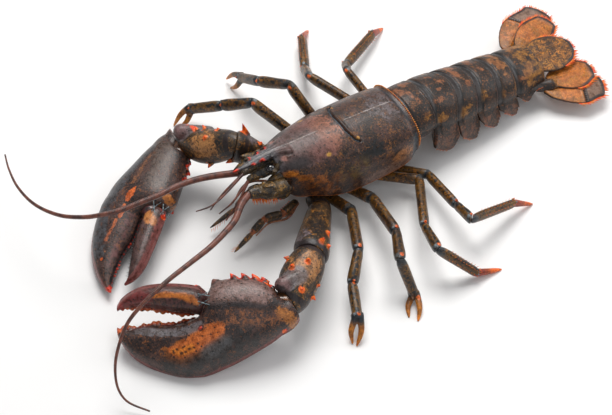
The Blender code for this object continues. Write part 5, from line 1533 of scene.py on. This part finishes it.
def claw_rings(wrist, tip, across, profile, count, stops, keel):
    """Rings of a claw piece, with a thin keel along the side away from the bite."""
    along, across, face = claw_axes(wrist, tip, across)
    rings = []
    for reach in spread(profile[0][0], profile[-1][0], stops):
        outer, inner, half = section_at(profile, reach)
        centre = wrist + along * reach + across * (outer + inner) / 2
        ring = oval(centre, across, face, (inner - outer) / 2, half, count, 0.92)
        for k in range(count):
            turn = 360 * (k + 0.5) / count
            off = abs((turn - keel + 180) % 360 - 180)
            rise = KEEL_HEIGHT * exp(-((off / KEEL_TURN) ** 2))
            ring[k] += (ring[k] - centre).normalized() * rise
        rings.append(ring)
    return rings


def claw_spot(wrist, tip, across, profile, reach, turn):
    """A point of a claw piece at this reach, and the way out there."""
    along, across, face = claw_axes(wrist, tip, across)
    outer, inner, half = section_at(profile, reach)
    centre = wrist + along * reach + across * (outer + inner) / 2
    return spot_on(centre, across, face, (inner - outer) / 2, half, turn)


def claw_spines(claw, profile, rows):
    """Spines that lean towards the claw's tip."""
    along = claw_axes(*claw)[0]
    spines = []
    for reach, turn, height, radius in rows:
        place, outward = claw_spot(*claw, profile, reach, turn)
        spines.append((place, place + (outward + along * SPINE_LEAN).normalized() * height, radius))
    return spines


def claw_teeth(claw, profile, facing, row, turn, seed):
    """Teeth along a biting edge, kept clear of the other finger's edge."""
    first, last, count, height, radius, _ = row
    draw = random.Random(seed)
    teeth = []
    for reach in spread(first, last, count):
        reach += draw.uniform(-0.15, 0.15) * (last - first) / count
        size = draw.uniform(0.55, 1.15)
        place, outward = claw_spot(*claw, profile, reach, turn)
        other, _ = claw_spot(*claw, facing, reach, 180 - turn)
        tall = min(height * size, ((other - place).length - BITE_CLEARANCE) / 2)
        if tall > 0.4:
            teeth.append((place, place + outward * tall, radius * size))
    return teeth


def claw_places(spots, claw):
    """The spots as (along, across, face) distances from the wrist."""
    turn = np.array([tuple(axis) for axis in claw_axes(*claw)])
    return (spots - np.array(claw[0])) @ turn.T


def strip(places, path, half, top):
    """1 along a line of stops; top is 1 or -1 and keeps it to one face of the claw."""
    field = np.zeros(len(places))
    for (a, w, *near), (b, v, *far) in zip(path, path[1:]):
        start, stop = near[0] if near else half, far[0] if far else half
        for share in spread(0, 1, 7):
            middle, reach = (a + (b - a) * share, w + (v - w) * share), start + (stop - start) * share
            away = away_from(places[:, :2], middle)
            field = np.maximum(field, soft(away, reach * 1.45, reach * 0.55))
    return field * soft(places[:, 2] * top, -1.5, 1.5)


CLAW_SHELL = shell_finish(
    "claw_shell", (0.026, 0.016, 0.015), (0.075, 0.04, 0.034), (0.26, 0.09, 0.03), 1.0, 0.26, 0.00012, 0.42)
CLAWS = {
    "crusher": dict(
        claw=CRUSHER, palm=CRUSHER_PALM, thumb=CRUSHER_THUMB, joint=Vector(ARM_LEFT[3]), plane=LEFT_WRIST,
        spines=(CRUSHER_PALM_SPINES, CRUSHER_THUMB_SPINES), teeth=(CRUSHER_TEETH, CRUSHER_TEETH),
        seen=-1, palm_marks=CRUSHER_PALM_MARKS, thumb_marks=CRUSHER_THUMB_MARKS,
        thumb_colour=(0.085, 0.036, 0.036), bite_colour=(0.12, 0.03, 0.02), tooth_colour=(0.4, 0.07, 0.02),
        tip_colours=((0.5, 0.1, 0.03), (0.3, 0.035, 0.03))),
    "cutter": dict(
        claw=CUTTER, palm=CUTTER_PALM, thumb=CUTTER_THUMB, joint=Vector(ARM_RIGHT[3]), plane=RIGHT_WRIST,
        spines=(CUTTER_PALM_SPINES, CUTTER_THUMB_SPINES), teeth=(CUTTER_TEETH, CUTTER_THUMB_TEETH),
        seen=1, palm_marks=CUTTER_PALM_MARKS, thumb_marks=CUTTER_THUMB_MARKS,
        thumb_colour=(0.11, 0.062, 0.06), bite_colour=FLECK_BLACK, tooth_colour=(0.7, 0.04, 0.012),
        tip_colours=((0.7, 0.05, 0.02), (0.2, 0.04, 0.035))),
}
for name, make in CLAWS.items():
    claw = make["claw"]
    along = claw_axes(*claw)[0]
    palm_rings = claw_rings(*claw, make["palm"], *PALM_RINGS)
    for k, ring in enumerate(palm_rings):
        reach = k / (len(palm_rings) - 1) * (make["palm"][-1][0] - make["palm"][0][0])
        share = 1 - reach / WRIST_BLEND
        if share > 0:
            palm_rings[k] = tilt(ring, along, make["plane"], share)
    wrist_plane = make["joint"] + make["plane"] * JOINT_GAP / 2
    palm_rings[0] = slide_to_plane(palm_rings[0], along, wrist_plane, make["plane"])
    thumb_rings = claw_rings(*claw, make["thumb"], *THUMB_RINGS)
    for k, (part, other, rings, turn, seed, grain) in enumerate((
        ("palm", "thumb", palm_rings, 0, 3, 0.52), ("thumb", "palm", thumb_rings, 180, 4, 0.4),
    )):
        profile = make[part]
        thorns = claw_spines(claw, profile, make["spines"][k])
        sharp = [thorn for thorn in thorns if thorn[2] < BROAD_FROM]
        broad = [thorn for thorn in thorns if thorn[2] >= BROAD_FROM]
        teeth = claw_teeth(claw, profile, make[other], make["teeth"][k], turn, seed)
        solids = [loft(lift(rings))] + [horn(*thorn) for thorn in thorns]
        solids += [horn(*tooth, make["teeth"][k][-1]) for tooth in teeth]
        piece = cast(f"{name}_{part}_shell", solids, grain)
        keep_above_floor(piece)
        spots = spots_of(piece)
        places = claw_places(spots, claw)
        edge = np.interp(places[:, 0], EDGE_STOPS, [section_at(profile, stop)[k] for stop in EDGE_STOPS])
        keel = soft(np.abs(places[:, 1] - edge), 2.8, 1.7) * soft(np.abs(places[:, 2]), 5, 3.6)
        bite = np.min([away_from(spots, base) for base, _, _ in teeth], axis=0)
        marks = [(np.full(len(spots), 0.5), make["thumb_colour"])] if part == "thumb" else []
        for path, half, cover, colour in make[part + "_marks"]:
            field = strip(places, path, half, make["seen"])
            field = np.maximum(field, 0.8 * strip(places, path, half * 0.8, -make["seen"]))
            marks.append((cover * field, colour))
        marks += [
            (0.95 * keel, MAROON),
            (0.7 * soft(bite, 3.4, 1.8), make["bite_colour"]),
            (tips(spots, teeth, 0.35), make["tooth_colour"]),
            (0.8 * tips(spots, teeth, 0.85), TOOTH_TIP),
            (0.95 * soft(away_from(spots, rings[-1][0]), 6, 3), make["tip_colours"][k]),
            (0.85 * tips(spots, thorns, 0), BLACK_BROWN),
            (tips(spots, sharp, 0.4), SCARLET),
            (0.8 * tips(spots, sharp, 0.8), TIP_ORANGE),
            (0.7 * tips(spots, broad, 0.3), BROAD_SPINE),
        ]
        dress(piece, CLAW_SHELL, "claw_shell", [f"{name}_{part}"], marks, 0.8)


# Bristles. Short stiff black hairs stand in rows on both sides of the cutter's biting edges, between
# its teeth. They grow straight out of the shell of the palm's fixed finger and of the movable one.
BRISTLE_ROWS = (("palm", 0, 54, 110), ("thumb", 180, 58, 102))
BRISTLE_TURNS = (-34, -20, 14, 28)
BLACK_HAIR = plain_finish("black_hair", (0.012, 0.01, 0.01), 0.4)
roots, ways = [], []
for part, turn, first, last in BRISTLE_ROWS:
    draw = random.Random(8)
    for reach in spread(first, last, 46):
        for aside in BRISTLE_TURNS:
            stop = reach + draw.uniform(-0.5, 0.5)
            place, outward = claw_spot(*CUTTER, CLAWS["cutter"][part], stop, turn + aside)
            roots.append(place)
            ways.append(outward)
fringe("cutter_bristles", roots, ways, 1.9, 0.16, BLACK_HAIR, "claw_shell", 0.6, 9)


# Claw hinges. A dark pad of soft skin fills each hinge between the palm and the movable finger, and
# pale strands of the same skin cross the gap on both faces, rooted in the shell at both ends.
HINGE_PLACES = {"crusher": (52.5, 7), "cutter": (51.5, 4)}
HINGE_RADIUS = 6.6
# Each strand: how far across the claw it leaves the palm and meets the finger, and its thickness.
STRAND_ENDS = ((4.4, 7.8, 0.36), (8.8, 5.2, 0.28), (9.8, 12.2, 0.36), (13.2, 10.4, 0.28))
# Each stop of a strand: the piece under it, its reach, the reach of the section that it clears, its
# clearance over the shell and the share of the section's height.
STRAND_STOPS = (("palm", 49.5, 49.5, -0.4, 1), ("palm", 53, 50, 1.2, 0.86), ("thumb", 58, 58, -0.4, 1))
HINGE_SKIN = plain_finish("hinge_membrane", (0.02, 0.02, 0.022), 0.3, 0.3, (0.12, 0.03, 0.03), 300.0)
HINGE_STRAND = plain_finish("hinge_strand", (0.24, 0.31, 0.33), 0.3, 0.3, (0.1, 0.14, 0.16), 400.0)
strand_from, strand_run = STRAND_STOPS[0][1], STRAND_STOPS[-1][1] - STRAND_STOPS[0][1]
for name, hinge in HINGE_PLACES.items():
    make = CLAWS[name]
    wrist = make["claw"][0]
    along, across, face = claw_axes(*make["claw"])
    centre = wrist + along * hinge[0] + across * hinge[1]
    pad = [lobe(centre - along * 3 - across * 2, centre + along * 3 - across * 2, HINGE_RADIUS)]
    strands = []
    for seen in (1, -1):
        for palm_aside, thumb_aside, thick in STRAND_ENDS:
            line = []
            for part, reach, at, clear, share in STRAND_STOPS:
                outer, inner, half = section_at(make[part], at)
                aside = palm_aside + (thumb_aside - palm_aside) * (reach - strand_from) / strand_run
                off = min(abs(aside - (outer + inner) / 2) / ((inner - outer) / 2), 0.97)
                rise = half * sqrt(1 - off * off) * share + clear
                line.append(wrist + along * reach + across * aside + face * seen * rise)
            widths = [thick * (1 + 0.3 * sin(k * 2)) for k in range(12)]
            strands.append(loft(tube(smooth_route(line, 12), widths, 10)))
    for part, solids, grain, finish in (
        ("_membrane", pad, 0.45, HINGE_SKIN), ("_strands", strands, 0.3, HINGE_STRAND),
    ):
        skin = cast(name + part, solids, grain, 2)
        skin.data.materials.append(finish)
        mount(skin, "claw_shell")


# Abdomen. Six hard arches that overlap like armour, each with a smooth blue-grey band in front
# that slides under the one before, and a hanging side lappet edged with a short orange fringe.
TAIL_SEAMS = (-0.7, 17, 40, 56, 72, 87, 111)
TAIL_MIDDLE = ((0, 34.3), (17, 33), (40, 28.5), (56, 25.5), (72, 23), (87, 20.5), (111, 18.5))
TAIL_RISE = ((0, 15.5), (17, 15.2), (40, 15), (56, 14.5), (72, 14), (87, 13.5), (111, 11.5))
TAIL_HALF = ((0, 20.4), (17, 20.6), (40, 21.8), (56, 21), (72, 20.5), (87, 19), (111, 16.5))
TAIL_BELLY_DROP = 6
TAIL_SWEEP = ((0, 0), (17, -1), (40, -7.5), (56, -6.5), (72, -5), (87, -3), (111, -1))
TAIL_ROLL = radians(5)
TAIL_DRIFT = -2.5
LAPPET_LOW = (
    ((0, 30), (0.5, 29.5), (1, 33.5)),
    ((0, 20), (0.5, 12), (0.8, 11.5), (1, 20)),
    ((0, 16.5), (0.85, 9), (1, 19)),
    ((0, 16.5), (0.85, 8.8), (1, 18)),
    ((0, 16.5), (0.88, 8.4), (1, 16)),
    ((0, 17.5), (0.35, 11.4), (0.5, 18), (1, 17)),
)
LAPPET_HALF = (20.8, 26.5, 26.5, 25.5, 24, 21)
LAPPET_BACK = (0, -4.5, 2, 3.5, 3.5, 3)
LAPPET_WALL = 2.2
PART_GAP = 0.3
ARCH_STOPS = 73
LAPPET_STOPS = 12
TAIL_PATCHES = 11
BAND_SHARE = (0.1, 0.17, 0.26, 0.24, 0.24, 0.12)
BAND_SUNK = 0.8
REAR_LIP = 0.35
LIP_SHARE = 0.955
ARCH_BULGE = 0.35
BAND_GREY = (0.08, 0.088, 0.1)
PATCH_RUST = (0.21, 0.078, 0.03)
LAPPET_BROWN = (0.13, 0.048, 0.022)
SIDE_GOLD = (0.25, 0.11, 0.02)


def tail_frame(y):
    """Turns the abdomen's sections left side down and sideways, more so towards the fan."""
    share = max(y, 0) / TAIL_SEAMS[-1]
    roll = Matrix.Rotation(TAIL_ROLL * share, 3, "Y")
    return Vector((TAIL_DRIFT * share, 0, through(TAIL_MIDDLE, y))), roll


def tail_relief(number, share):
    """How far the arch stands out at this share of a segment's length."""
    band = BAND_SHARE[number - 1]
    sunk = -BAND_SUNK if share < band else -BAND_SUNK * exp(-(((share - band) / 0.035) ** 2))
    bulge = ARCH_BULGE * sin(pi * max(0, (share - band) / (1 - band)))
    lip = REAR_LIP * exp(-(((share - LIP_SHARE) / 0.03) ** 2))
    return sunk + bulge + lip


def tail_ring(number, share):
    """One cross-section: arch, side lappets and the flat belly between them."""
    front, back = TAIL_SEAMS[number - 1], TAIL_SEAMS[number] - PART_GAP
    y = front + (back - front) * share
    middle, rise, half = (through(k, y) for k in (TAIL_MIDDLE, TAIL_RISE, TAIL_HALF))
    relief = tail_relief(number, share)
    low, out = through(LAPPET_LOW[number - 1], share), LAPPET_HALF[number - 1]
    back_shift = LAPPET_BACK[number - 1] * (1 - share)
    sweep = through(TAIL_SWEEP, y)
    outline = []
    for turn in spread(-90, 90, ARCH_STOPS):
        turn = radians(turn)
        shift = sweep * sin(turn) ** 2
        outline.append(Vector((
            (half + relief) * sin(turn), y + shift, middle + (rise + relief) * cos(turn))))
    belly = middle - TAIL_BELLY_DROP
    side_y = y + sweep
    swell = relief * 0.6
    waist = (half + swell + out) / 2 + 0.6
    forward = max(back_shift, 0) * 0.3
    right = []
    for t in spread(0.12, 1, LAPPET_STOPS):
        x = through([(0, half + swell), (0.5, waist), (1, out)], t)
        lap_y = side_y + back_shift * t * t + forward * t * (1 - t)
        right.append(Vector((x, lap_y, middle + (low - middle) * t)))
    right += [
        Vector((out - LAPPET_WALL * 0.5, side_y + back_shift, low - 0.35)),
        Vector((out - LAPPET_WALL, side_y + back_shift, low)),
        Vector((half - LAPPET_WALL - 0.6, side_y + back_shift * 0.4, (belly + low) / 2)),
        Vector((half + swell - LAPPET_WALL - 2, side_y, belly)),
    ]
    outline += right + [Vector((-p.x, p.y, p.z)) for p in reversed(right)]
    place, roll = tail_frame(y)
    height = Vector((0, 0, place.z))
    return [roll @ (p - height) + place for p in outline]


TAIL_SHELL = shell_finish(
    "tail_shell", (0.01, 0.007, 0.006), (0.034, 0.016, 0.009), (0.17, 0.062, 0.018), 0.95, 0.36,
    0.00012, 0.46)
for number in range(1, 7):
    segment = cast(
        f"tail_segment_{number}_shell", [loft([tail_ring(number, s) for s in spread(0, 1, 64)])], 0.5, 2)
    spots = spots_of(segment)
    front, back = TAIL_SEAMS[number - 1], TAIL_SEAMS[number]
    centre = (front + back) / 2
    place, roll = tail_frame(centre)
    level = (spots - np.array(place)) @ np.array(roll)
    turned = np.arctan2(
        np.abs(level[:, 0]) / through(TAIL_HALF, centre), level[:, 2] / through(TAIL_RISE, centre))
    sweep = through(TAIL_SWEEP, centre) * np.sin(np.minimum(turned, 1.57)) ** 2
    share = (spots[:, 1] - sweep - front) / (back - front)
    band = BAND_SHARE[number - 1]
    above = soft(turned, 1.75, 1.3)
    marks = [
        (0.45 * soft(turned, 1.5, 1.9), LAPPET_BROWN),
        (0.8 * soft(share, band - 0.02, band - 0.05) * above, (0.02, 0.015, 0.015)),
        (0.7 * soft(np.abs(share - band + 0.05), 0.02, 0.008) * soft(turned, 0.9, 0.4), BAND_GREY),
        (0.9 * soft(np.abs(share - band), 0.05, 0.02) * above, (0.008, 0.008, 0.009)),
        (0.6 * soft(share, 0.93, 0.98) * above, (0.06, 0.028, 0.022)),
    ]
    side = np.sign(level[:, 0]) * turned
    draw = random.Random(60 + number)
    for _ in range(TAIL_PATCHES):
        aside, start = draw.uniform(-1.35, 1.35), draw.uniform(band + 0.05, 0.75)
        wide, deep = draw.uniform(0.06, 0.2), draw.uniform(0.08, 0.22)
        patch = soft(np.abs(side - aside), wide * 1.8, wide * 0.3)
        patch = patch * soft(np.abs(share - start), deep * 1.6, deep * 0.3)
        marks.append((0.62 * patch, PATCH_RUST if abs(aside) < 0.8 else SIDE_GOLD))
    if number > 4:
        marks.append(((number - 4) * 0.24 * soft(share, 0.15, 0.5) * above, SIDE_GOLD))
    dress(segment, TAIL_SHELL, "tail_shell", [f"tail_segment_{number}"], marks, 1.1)
    roots, ways = [], []
    for sign in (1, -1):
        for s in spread(0.1, 0.98, 26):
            ring = tail_ring(number, s)
            hem = ring[ARCH_STOPS + LAPPET_STOPS - 1 if sign > 0 else -LAPPET_STOPS]
            roots.append(hem + Vector((-sign * 0.8, 0, 0.2)))
            ways.append(Vector((-sign * 0.25, 0.35 if s > 0.8 else -0.1, -1)).normalized())
    fringe(
        f"tail_segment_{number}_fringe", roots, ways, 2.7, 0.24, ORANGE_HAIR, "tail_shell", 0.5, 20 + number)


# Swimmerets. Two pairs of thin leaf blades of soft brown skin hang under each of the four middle
# segments and lie back. A fringe of orange hairs runs round the end of each blade.
SWIMMERET_X = 9
SWIMMERET_LENGTH = (19, 17.5, 16, 14.5)
SWIMMERET_HALF = 3.4
SWIMMERET_THICK = 0.65
# Each blade of a side: how far it stands from the pair's middle, its lean and its share of the length.
SWIMMERET_BLADES = ((-2.6, 38, 1), (2.6, 46, 0.85))
SWIMMERET_SHAPE = ((0, 0.5), (0.25, 0.7), (0.6, 1), (0.85, 0.75), (1, 0.12))
SWIM_SKIN = shell_finish("swimmeret_skin", (0.14, 0.06, 0.03), (0.28, 0.13, 0.05), RUST, 0.6, 0.4)
for number in range(2, 6):
    y = (TAIL_SEAMS[number - 1] + TAIL_SEAMS[number]) / 2 - 1
    place, roll = tail_frame(y)
    blades, roots, ways = [], [], []
    for sign in (1, -1):
        for apart, tilt_back, reach in SWIMMERET_BLADES:
            root = roll @ Vector((sign * (SWIMMERET_X + apart), 0, 1.2 - TAIL_BELLY_DROP)) + place
            root.y = y + through(TAIL_SWEEP, y)
            lean = radians(tilt_back)
            way = Vector((sign * apart * 0.04, cos(lean), -sin(lean))).normalized()
            side = Vector((1, 0, 0))
            flat = side.cross(way).normalized()
            length = SWIMMERET_LENGTH[number - 2] * reach
            rings = []
            for s in spread(0, 1, 24):
                wide = SWIMMERET_HALF * through(SWIMMERET_SHAPE, s)
                rings.append(oval(root + way * length * s, side, flat, wide, SWIMMERET_THICK, 20))
                if s > 0.45:
                    for edge in (1, -1):
                        roots.append(root + way * length * s + side * edge * wide * 0.9)
                        ways.append((way + side * edge * 0.9 * (1.2 - s)).normalized())
            blades.append(loft(rings))
    swimmers = piece_of(f"swimmerets_{number}", blades)
    dress(swimmers, SWIM_SKIN, "tail_shell", [])
    fringe(f"swimmerets_{number}_fringe", roots, ways, 2.6, 0.13, ORANGE_HAIR, "tail_shell", 0.4, 30 + number)


# Tail fan. The telson in the middle and two uropods each side, thin hard plates with a raised
# middle, a dark rim and a fringe of red and orange hairs; the outer pair has a toothed cross seam.
# Each plate: its base, its tip, its thickness, its roll in degrees, and stops of (share of its length,
# right edge, left edge).
FAN_PLATES = {
    "telson": (
        (-1.2, 111.8, 21.5), (-2.6, 143.2, 19.5), 3.2, 5,
        ((0, -11, 11), (0.12, -13, 13), (0.35, -15.2, 15), (0.6, -14.5, 14), (0.8, -11.8, 12),
         (0.93, -8, 8), (1, -4, 4)),
    ),
    "uropod_inner_left": (
        (13.5, 112.3, 15.2), (20, 145.2, 13.4), 2, 5,
        ((0, -3, 3), (0.15, -7.2, 7.8), (0.45, -11.8, 12.2), (0.7, -12, 12.2), (0.9, -8.5, 8.5),
         (1, -3.5, 3.5)),
    ),
    "uropod_inner_right": (
        (-17, 112.3, 17.8), (-32, 145.5, 17.8), 2, 6,
        ((0, -3, 3), (0.15, -7.5, 6), (0.45, -10.5, 9.5), (0.7, -10, 12), (0.9, -7, 10.5), (1, -3.5, 7)),
    ),
    "uropod_outer_left": (
        (17, 107, 12.3), (33.9, 144.6, 10), 2, 5,
        ((0, -3, 3), (0.12, -5, 8), (0.45, -9.5, 13.5), (0.66, -10.5, 14), (0.85, -9, 10.5),
         (1, -4.5, 4.5)),
    ),
    "uropod_outer_right": (
        (-20, 107, 13.4), (-45, 147.5, 15.6), 2, 6,
        ((0, -3, 3), (0.12, -10, 5), (0.45, -15.2, 9), (0.7, -13, 12.8), (0.88, -8.5, 13.8),
         (1, -4.5, 8.5)),
    ),
}
PLATE_RIM = 0.35
PLATE_CROWN = 0.62
PLATE_BELLY = 0.5
PLATE_KEEL = 0.2
PLATE_RIBS = 0.035
SEAM_DIP = 0.22
SEAM_SHARE = 0.64
TOOTH_SHARE = SEAM_SHARE - 0.02
END_AT = 0.975
END_ROUND = 0.62
SEAM_TEETH = 15
# The outer uropods' stalks: from and to, and each spine's root and tip from the stalk's end, all
# with x pointing away from the telson.
UROPOD_STALK = ((-4, -3, 1.5), (0, 5.5, 1.5))
STALK_SPINES = (((0, 0, 2), (1, 5, 3)), ((3, 0, 0.5), (5, 5, 0.5)))
STALK_RADIUS = 4.6
FAN_GOLD = (0.36, 0.16, 0.026)
FAN_ORANGE = (0.44, 0.14, 0.025)
FAN_GREY = (0.16, 0.11, 0.085)
FAN_SHELL = shell_finish(
    "fan_shell", (0.18, 0.065, 0.012), (0.34, 0.12, 0.019), (0.42, 0.16, 0.026), 1.5, 0.26, 0.00008, 0.6,
    (0.03, 0.015, 0.008), 0.4)
TELSON_SHELL = shell_finish(
    "telson_shell", (0.03, 0.016, 0.009), (0.2, 0.074, 0.013), (0.48, 0.175, 0.024), 0.75, 0.28,
    0.00015, 0.72)
RED_HAIR = plain_finish("red_hair", (0.8, 0.08, 0.012), 0.45, 0.0, (0.85, 0.24, 0.02), 300.0)


def plate_span(widths, share):
    """How far aside a plate's middle lies at this share of its length, and its half width there."""
    right, left = section_at(widths, share)
    return (left + right) / 2, (left - right) / 2


for name, (base, tip, thick, roll, widths) in FAN_PLATES.items():
    base, tip = Vector(base), Vector(tip)
    along = (tip - base).normalized()
    side = Matrix.Rotation(radians(roll), 3, "Y") @ Vector((1, 0, 0))
    side = (side - along * side.dot(along)).normalized()
    up = side.cross(along)
    before, last = widths[-2:]
    rounded = tuple(end + (start - end) * END_ROUND for start, end in zip(before, last))
    widths = (*widths[:-1], (END_AT, *rounded[1:]), last)
    outer_pair = "outer" in name
    rings = []
    roots, ways = [], []
    for s in spread(0, 1, 80):
        shift, half = plate_span(widths, s)
        middle = base.lerp(tip, s) + side * shift
        ring = []
        for face in (1, -1):
            for across in spread(-1, 1, 41)[:-1]:
                across *= face
                crown = -PLATE_BELLY * (1 - abs(across) ** 4)
                if face > 0:
                    keel = PLATE_KEEL * exp(-((across / 0.1) ** 2))
                    ribs = PLATE_RIBS * cos(across * 24) * (1 - abs(across))
                    dip = SEAM_DIP * exp(-(((s - SEAM_SHARE) / 0.02) ** 2)) if outer_pair else 0
                    crown = PLATE_CROWN * (1 - abs(across) ** 2.4) + keel + ribs - dip
                rise = thick * crown + face * PLATE_RIM
                ring.append(middle + side * half * across + up * rise)
        rings.append(ring)
        if s > 0.5:
            for edge in (1, -1):
                roots.append(middle + side * half * edge * 0.97)
                ways.append((along * (0.5 + s) + side * edge * (1.25 - s)).normalized())
    shift, half = plate_span(widths, 1)
    for across in spread(-0.95, 0.95, 46):
        roots.append(tip + side * (shift + half * across) - along * 0.3)
        ways.append((along + side * across * 0.3).normalized())
    solids = [loft(rings)]
    thorns = []
    if outer_pair:
        shift, half = plate_span(widths, TOOTH_SHARE)
        for across in spread(-0.9, 0.9, SEAM_TEETH):
            place = base.lerp(tip, TOOTH_SHARE) + side * (shift + half * across)
            place += up * (thick * 0.6 * (1 - abs(across) ** 2.4) + PLATE_RIM - 0.15)
            thorns.append((place, place + along * 1.7 + up * 0.3, 0.6))
    plate = cast(name + "_plate", solids + [horn(*thorn, 0.15, 8, 0.8) for thorn in thorns], 0.35, 2)
    spots = spots_of(plate)
    share = (spots - np.array(base)) @ np.array(along) / (tip - base).length
    aside = (spots - np.array(base)) @ np.array(side)
    stops = np.linspace(0, 1, 60)
    edges = np.array([section_at(widths, s) for s in stops]).T
    right, left = (np.interp(share, stops, edge) for edge in edges)
    rim_away = np.minimum(np.minimum(left - aside, aside - right), (1 - share) * (tip - base).length)
    marks = []
    if outer_pair:
        marks += [
            (0.55 * soft(share, 0.1, 0.3), FAN_ORANGE),
            (0.85 * soft(share, SEAM_SHARE + 0.01, SEAM_SHARE + 0.05), FAN_GREY),
            (0.85 * soft(np.abs(share - SEAM_SHARE), 0.02, 0.008), BLACK_BROWN)]
    elif "inner" in name:
        marks += [(0.6 * soft(share, 0.1, 0.3), FAN_ORANGE), (0.5 * soft(share, 0.82, 0.96), FAN_GREY)]
    else:
        marks.append((0.35 * soft(share, 0.9, 0.3), FAN_GOLD))
    rear = soft(share, 0.5, 0.72)
    marks += [
        (0.85 * soft(rim_away, 1.2, 0.5), BLACK_BROWN),
        (0.85 * rear * soft(rim_away, 3, 1.8), (0.016, 0.018, 0.022)),
        (0.9 * rear * soft(rim_away, 0.7, 0.2), (0.4, 0.05, 0.015)),
        (0.9 * tips(spots, thorns, 0.1), BLACK_BROWN),
    ]
    dress(plate, TELSON_SHELL if name == "telson" else FAN_SHELL, "fan_shell", [name], marks)
    fringe(name + "_fringe", roots, ways, 4.2, 0.3, RED_HAIR, "fan_shell", 0.45, 41)
    if outer_pair:
        outwards = Vector((copysign(1, base.x), 1, 1))
        root, end = (base + outwards * Vector(place) for place in UROPOD_STALK)
        knuckles = [lobe(root, end, STALK_RADIUS)]
        for spine_root, spine_tip in STALK_SPINES:
            spine_root, spine_tip = (end + outwards * Vector(place) for place in (spine_root, spine_tip))
            knuckles.append(horn(spine_root, spine_tip, 1.6, 0.3))
        stalk = cast(name + "_stalk", knuckles, 0.5, 2)
        gold = 0.6 * tips(spots_of(stalk), [(root, end, 3)], 0.8)
        dress(stalk, TAIL_SHELL, "fan_shell", [], [(gold, SIDE_GOLD)])
